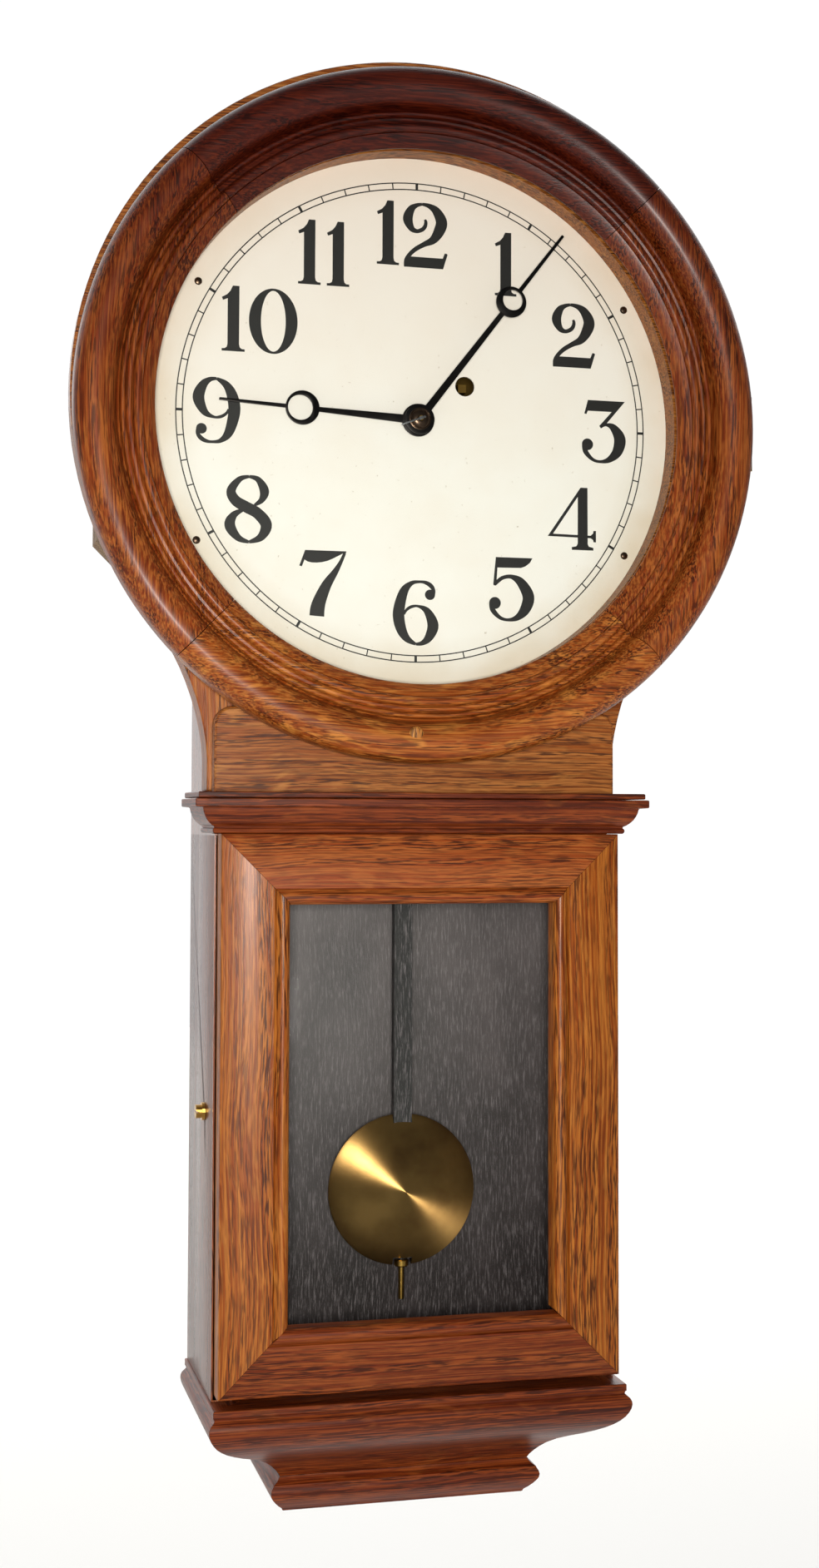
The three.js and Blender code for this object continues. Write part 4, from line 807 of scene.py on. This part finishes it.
five = [
    [(-7.0, 18.4), (15.2, 18.4), (13.6, 15.6), (10.9, 13.5), (8.2, 12.5), (-6.0, 12.3), (-6.6, 3.6),
     (-6.9, 1.8),
     (-8.4, 2.0), (-8.5, 3.0)],
    stroke((-7.6, 2.3, 0.8), (-5.6, 4.5, 1.1), (-2.5, 6.6, 1.1), (2.5, 7.2, 1.3), (8.2, 4.0, 2.7),
           (12.7, -4, 3.55),
           (10.7, -11.5, 3.1), (6, -16.4, 1.8), (0.5, -17.9, 0.9), (-4.5, -16.7, 1.1), (-8.7, -12.6, 1.5),
           (-9.9, -8.8, 1.2)),
    oval(-7.5, -8.3, 3.5),
]
six = [
    oval(8.4, 9.4, 3.0),
    stroke((10.6, 9.4, 0.8), (10.6, 12, 1.0), (9.0, 14.5, 1.3), (6.2, 16.2, 1.1), (2.6, 16.7, 0.8),
           (-2.6, 15.7, 1.3),
           (-7.2, 10.6, 2.6), (-10.1, -1, 3.4), (-8.8, -10, 3.1), (-5.3, -16, 2.1), (0, -19.2, 0.8)),
    stroke((-6.9, -2.2, 0.6), (-5.6, 0.2, 0.8), (-2.6, 2.2, 0.9), (1.6, 2.6, 0.8), (6.8, -0.2, 2.1),
           (10.2, -8, 3.3),
           (7.8, -15, 2.5), (4.0, -18.4, 1.4), (0, -19.2, 0.8)),
]
seven = [
    [(-9.9, 18.5), (13.9, 18.5), (14, 17.7), (12, 17.2), (9, 15.6), (6, 14.0), (3, 12.7), (0, 11.9),
     (-3, 11.5),
     (-6, 11.5), (-8.5, 12), (-10.2, 13), (-11.7, 9.1), (-13.2, 9.5)],
    stroke((13.1, 17.6, 0.8), (10.6, 12, 1.1), (7.4, 6.4, 1.8), (2.8, -0.6, 2.8), (-0.8, -8.5, 3.6),
           (-2.5, -14, 4.1),
           (-2.95, -18.8, 4.25)),
]
eight = [
    stroke((-1.5, 19, 0.85), (-7.0, 17.2, 1.6), (-11.7, 10.7, 2.6), (-9.3, 5.2, 3.0), (-3, 1.6, 3.2),
           (3.4, -1.7, 3.2),
           (8.3, -8, 3.3), (5.3, -15, 2.2), (-1.5, -18.1, 0.85)),
    stroke((-1.5, 19, 0.85), (3.6, 17.4, 1.7), (7.1, 11.3, 2.7), (5.6, 6, 1.7), (1.6, 2.9, 0.8)),
    stroke((-1.5, -18.1, 0.85), (-7.8, -15.7, 2.0), (-12.4, -8.9, 3.1), (-10, -3, 2.0), (-4.6, 0.1, 0.8)),
]
nine = turned180(six)
zero = [oval(0, 0, 13.95, 18.65, 64)]
zeroEye = oval(0, 0, 7.1, 17.35, 64)
figurePlaces = [  # hour, the figure's outlines and its offset from the hour's own centre
    (1, one, -1.35, 0), (2, two, 0, 0), (3, three, 0, 0), (4, four, 0, 0), (5, five, 0, 0), (6, six, 0, 0),
    (7, seven, 0, 0), (8, eight, 0, 0), (9, nine, -0.6, -0.7), (10, one, -12.4, -1.15),
                (10, zero, 10.4, -1.3),
    (11, one, -8.4, -0.25), (11, one, 8.3, -0.3), (12, one, -17, 0.3), (12, two, 5.2, -0.75),
]
hourRadius = {1: 110, 2: 110, 3: 115, 4: 110, 5: 109.5, 6: 109, 7: 109.5, 8: 110, 9: 115, 10: 108.5,
              11: 109,
              12: 108.5}


# Closed outlines, filled and given the thickness of a paint film; an outline inside another is a hole.
def layTransfer(name, outlines, depth, thickness=0.04):
    deselectAll()
    data = bpy.data.curves.new(name, "CURVE")
    data.dimensions, data.fill_mode, data.extrude = "2D", "BOTH", thickness / 2000
    for outline in outlines:
        spline = data.splines.new("POLY")
        spline.points.add(len(outline) - 1)
        for point, (x, z) in zip(spline.points, outline):
            point.co = (x / 1000, z / 1000, 0, 1)
        spline.use_cyclic_u = True
    obj = bpy.data.objects.new(name, data)
    bpy.context.scene.collection.objects.link(obj)
    pickOne(obj)
    bpy.ops.object.convert(target="MESH")
    obj = bpy.context.object
    obj.data.transform(Matrix.Translation(mm(0, depth, 0)) @ Matrix.Rotation(math.radians(90), 4, "X"))
    return obj


# The nth stroke of every figure lies in the nth layer, so that strokes of one figure may overlap.
def figureLayers():
    layers = [[], [], []]
    for hour, figure, dx, dz in figurePlaces:
        angle = math.radians(30 * hour)
        cx, cz = hourRadius[hour] * math.sin(angle) + dx, hourRadius[hour] * math.cos(angle) + dz
        for index, outline in enumerate(figure):
            layers[index].append([(x + cx, z + cz) for x, z in outline])
        if figure is zero:
            layers[0].append([(x + cx, z + cz) for x, z in zeroEye])
    return layers


track = {"outer": 138.5, "inner": 134.8, "line": 0.33, "tick": 0.34, "fiveTick": 0.75}


def trackLayers():
    rings = []
    for radius in (track["outer"], track["inner"]):
        rings += [oval(0, 0, radius + track["line"], None, 240), oval(0, 0, radius - track["line"], None,
                                                                      240)]
    ticks = []
    for minute in range(60):
        a = math.radians(6 * minute)
        half = track["fiveTick"] if minute % 5 == 0 else track["tick"]
        ux, uz = math.sin(a), math.cos(a)
        ticks.append([(ux * r + uz * s * half, uz * r - ux * s * half)
                      for r, s in ((track["inner"], -1), (track["inner"], 1), (track["outer"], 1),
                                   (track["outer"], -1))])
    return [rings, ticks]


transfers = [layTransfer("transfer_%d" % i, layer, 86.05 + 0.012 * i)
             for i, layer in enumerate(figureLayers() + trackLayers())]
place(joinAll("dial_printing", transfers), ink, "case", "dial_paint")

dialScrews = ((-126.4, 73), (126.4, 73), (-126.4, -73), (126.4, -73))
screwHead = turnPiece("dial_screw_head", [(0, 86.05), (2.2, 86.05), (2.2, 86.35), (1.7, 87), (0.8, 87.3),
                                          (0, 87.35)],
                      steps=28)
for number, (x, z) in enumerate(dialScrews, 1):
    twin = copyMoved(screwHead, "dial_screw_head_%d" % number, Matrix.Translation(mm(x, 0, z)))
    place(twin, nutMetal, "case", "steel", "dial_screw_%d" % number)
bpy.data.objects.remove(screwHead)
print("stage: dial")


hands = {
    "hour": {"turn": 273.125, "back": 90.0, "bore": 4.3, "hub": 9.4, "ring": 67.5, "outer": 9.7,
             "inner": 7.2,
             "length": 115, "arm": 4.6, "neck": 2.6, "tip": 1.4},
    "minute": {"turn": 37.5, "back": 93.6, "bore": 1.8, "hub": 8.6, "ring": 89.5, "outer": 9.0,
               "inner": 6.0,
               "length": 141.3, "arm": 4.4, "neck": 3.0, "tip": 1.6},
}


# Arm, moon ring and pointer as one outline pointing to twelve, starting at the hub's left side.
def handOutline(hand):
    hub, ring, outer = hand["hub"], hand["ring"], hand["outer"]

    def arcTo(radius, centre, start, end, steps):
        return arcPoints(0, centre, radius, radius, start, end, steps)

    hubHalf = math.degrees(math.asin(hand["arm"] / 2 / hub))
    neckHalf = math.degrees(math.asin(hand["neck"] / 2 / outer))
    pointHalf = math.degrees(math.asin((hand["neck"] - 0.5) / 2 / outer))
    points = arcTo(hub, 0, 90 + hubHalf, 450 - hubHalf, 60)
    points += arcTo(outer, ring, -90 + neckHalf, 90 - pointHalf, 26)
    points += [(hand["tip"] / 2, hand["length"] - 0.3), (hand["tip"] / 2 - 0.3, hand["length"])]
    points += [(-x, z) for x, z in points[:-3:-1]]
    points += arcTo(outer, ring, 90 + pointHalf, 270 - neckHalf, 26)
    return points


def makeHand(kind):
    hand = hands[kind]
    eye = oval(0, hand["ring"] + (hand["outer"] - hand["inner"]) * 0.5, hand["inner"], None, 48)
    bore = oval(0, 0, hand["bore"], None, 32)
    obj = layTransfer(kind + "_hand_blued", [handOutline(hand), eye, bore], hand["back"] + 0.6, 1.2)
    pickOne(obj)
    bpy.ops.object.mode_set(mode="EDIT")
    bpy.ops.mesh.select_all(action="SELECT")
    bpy.ops.mesh.remove_doubles(threshold=0.000005)
    bpy.ops.mesh.normals_make_consistent(inside=False)
    bpy.ops.object.mode_set(mode="OBJECT")
    roundEdges(obj, 0.22, 2, 50)
    obj.data.transform(Matrix.Rotation(math.radians(hand["turn"]), 4, "Y"))
    return obj


place(makeHand("hour"), blued, "hour", "blued_steel", "hour_hand")
place(makeHand("minute"), blued, "minute", "blued_steel", "minute_hand")
minuteBoss = turnPiece("minute_hand_boss", [(1.9, 94.7), (8.0, 94.7), (8.0, 94.95), (7.4, 95.05),
                                            (1.9, 95.05)], steps=56)
place(minuteBoss, blued, "minute", "blued_steel")
collet = turnPiece("domed_hand_nut", [(1.8, 95.1), (6.4, 95.1), (6.4, 95.6), (6.0, 95.7), (5.7, 95.5),
                                      (5.5, 95.6),
                                      (5.2, 96.1), (4.5, 96.7), (3.6, 97.1), (2.7, 97.35), (1.8, 97.4)],
                   steps=56)
place(collet, nutMetal, "minute", "blued_steel", "hand_collet")
arborTip = turnPiece("centre_arbor_tip", [(0, 96.2), (1.45, 96.2), (1.45, 97.9), (1.2, 98.15), (0, 98.2)],
                     steps=28)
place(arborTip, steel, "minute", "steel")


def makeTaperPin():
    pin = turnPiece("taper_pin", [(0, -2.7), (0.55, -2.7), (0.65, -2.5), (0.45, 11.9), (0.3, 12.3),
                                  (0, 12.3)], steps=20)
    lay = Matrix.Rotation(math.radians(-21), 4, "Y") @ Matrix.Rotation(math.radians(-90), 4, "Z")
    pin.data.transform(Matrix.Translation(mm(0, 97.6, 0)) @ lay)
    return pin


place(makeTaperPin(), steel, "minute", "steel", "hand_pin")
print("stage: hands")


def bobProfile():
    front = []
    for k in range(19):
        share = math.sin(math.radians(90 * k / 18))
        rise = 0.9 + (bob["half"] - 0.9) * max(0.0, 1 - share**2.1) ** 0.92
        front.append((bob["radius"] * share, rise))
    rim = [(bob["radius"] + 0.35, 0.55), (bob["radius"] + 0.35, -0.55)]
    return ([(r, bob["depth"] + d) for r, d in front] + [(r, bob["depth"] + d) for r, d in rim]
            + [(r, bob["depth"] - d) for r, d in reversed(front)])


def makeBob():
    obj = turnPiece("spun_bob", bobProfile(), (0, bob["z"]), 128, 40)
    deselectAll()
    bpy.ops.mesh.primitive_cube_add(size=1, location=mm(0, bob["depth"], bob["z"]), scale=bob["channel"])
    combine(obj, settle(bpy.context.object))
    return obj


place(makeBob(), bobBrass, "pendulum", "brass", "pendulum_bob")

nut = turnPiece("knurled_rating_nut", [(1.9, 0), (3.6, 0), (4.2, 0.6), (4.2, 3.4), (3.6, 4), (1.9, 4)],
                steps=40)
nut.data.transform(Matrix.Translation(mm(0, bob["depth"], bob["nut"])) @ Matrix.Rotation(math.radians(-90),
                                                                                         4, "X"))
place(nut, brass, "rating_nut", "brass", "rating_nut")
stud = turnPiece("threaded_brass_stud", [(1.3, 0), (1.7, 0.5), (1.7, 18.5), (1.3, 19)], steps=24)
stud.data.transform(Matrix.Translation(mm(0, bob["depth"],
                                          bob["studEnd"])) @ Matrix.Rotation(math.radians(-90), 4, "X"))
place(stud, brass, "pendulum", "brass")
frame["nodes"]["pendulum_rod"].data.materials[0] = blackRod
print("stage: pendulum")


deselectAll()
bpy.ops.mesh.primitive_plane_add(size=30, location=(0, 0, -1.9))
floor = bpy.context.object
floor.name = "floor"
floorPaint, floorTree, floorShader = newMaterial("plain_pale_floor")
floorShader.inputs["Base Color"].default_value = linear("#f2f1ee")
floorShader.inputs["Roughness"].default_value = 0.9
floor.data.materials.append(floorPaint)

world = bpy.data.worlds.new("white_studio")
bpy.context.scene.world = world
world.use_nodes = True
sky = world.node_tree
direction = addNode(sky, "ShaderNodeSeparateXYZ",
                    {0: addNode(sky, "ShaderNodeTexCoord").outputs["Generated"]})
paper = addNode(sky, "ShaderNodeMapRange", {0: direction.outputs["Y"], 1: 0.5, 2: 0.82, 3: 0.15, 4: 1.03})
sky.links.new(paper.outputs[0], sky.nodes["Background"].inputs["Strength"])
sky.nodes["Background"].inputs["Color"].default_value = linear("#ffffff")


def areaLight(name, spot, target, size, power, colour="#ffffff"):
    data = bpy.data.lights.new(name, "AREA")
    data.shape, data.size, data.size_y, data.energy = "RECTANGLE", size[0], size[1], power
    data.color = linear(colour)[:3]
    lamp = bpy.data.objects.new(name, data)
    lamp.location = spot
    lamp.rotation_mode = "QUATERNION"
    lamp.rotation_quaternion = (Vector(target) - Vector(spot)).to_track_quat("-Z", "Y")
    bpy.context.scene.collection.objects.link(lamp)


areaLight("soft_key_by_the_camera", (-0.3, -1.3, -0.24), (0, 0, -0.3), (0.2, 0.2), 14.7, "#fff8f2")
areaLight("floor_wash", (0, 13.2, 5), (0, 13.2, -1.9), (24, 24), 2600)
bpy.context.scene.view_settings.view_transform = "Standard"

cameraData = bpy.data.cameras.new("camera")
camera = bpy.data.objects.new("camera", cameraData)
bpy.context.scene.collection.objects.link(camera)
yaw, pitch, roll = math.radians(13.997), math.radians(2.58), math.radians(0.16)
ahead = Vector((math.sin(yaw) * math.cos(pitch), math.cos(yaw) * math.cos(pitch), math.sin(pitch)))
camera.location = (-0.2828, -1.1848, -0.2297)
camera.rotation_mode = "QUATERNION"
camera.rotation_quaternion = ahead.to_track_quat("-Z", "Y") @ Matrix.Rotation(roll, 4, "Z").to_quaternion()
cameraData.lens, cameraData.sensor_width = 45.71, 36
cameraData.shift_x, cameraData.shift_y = 0.00587, -0.03302
bpy.context.scene.camera = camera
print("stage: light and camera")
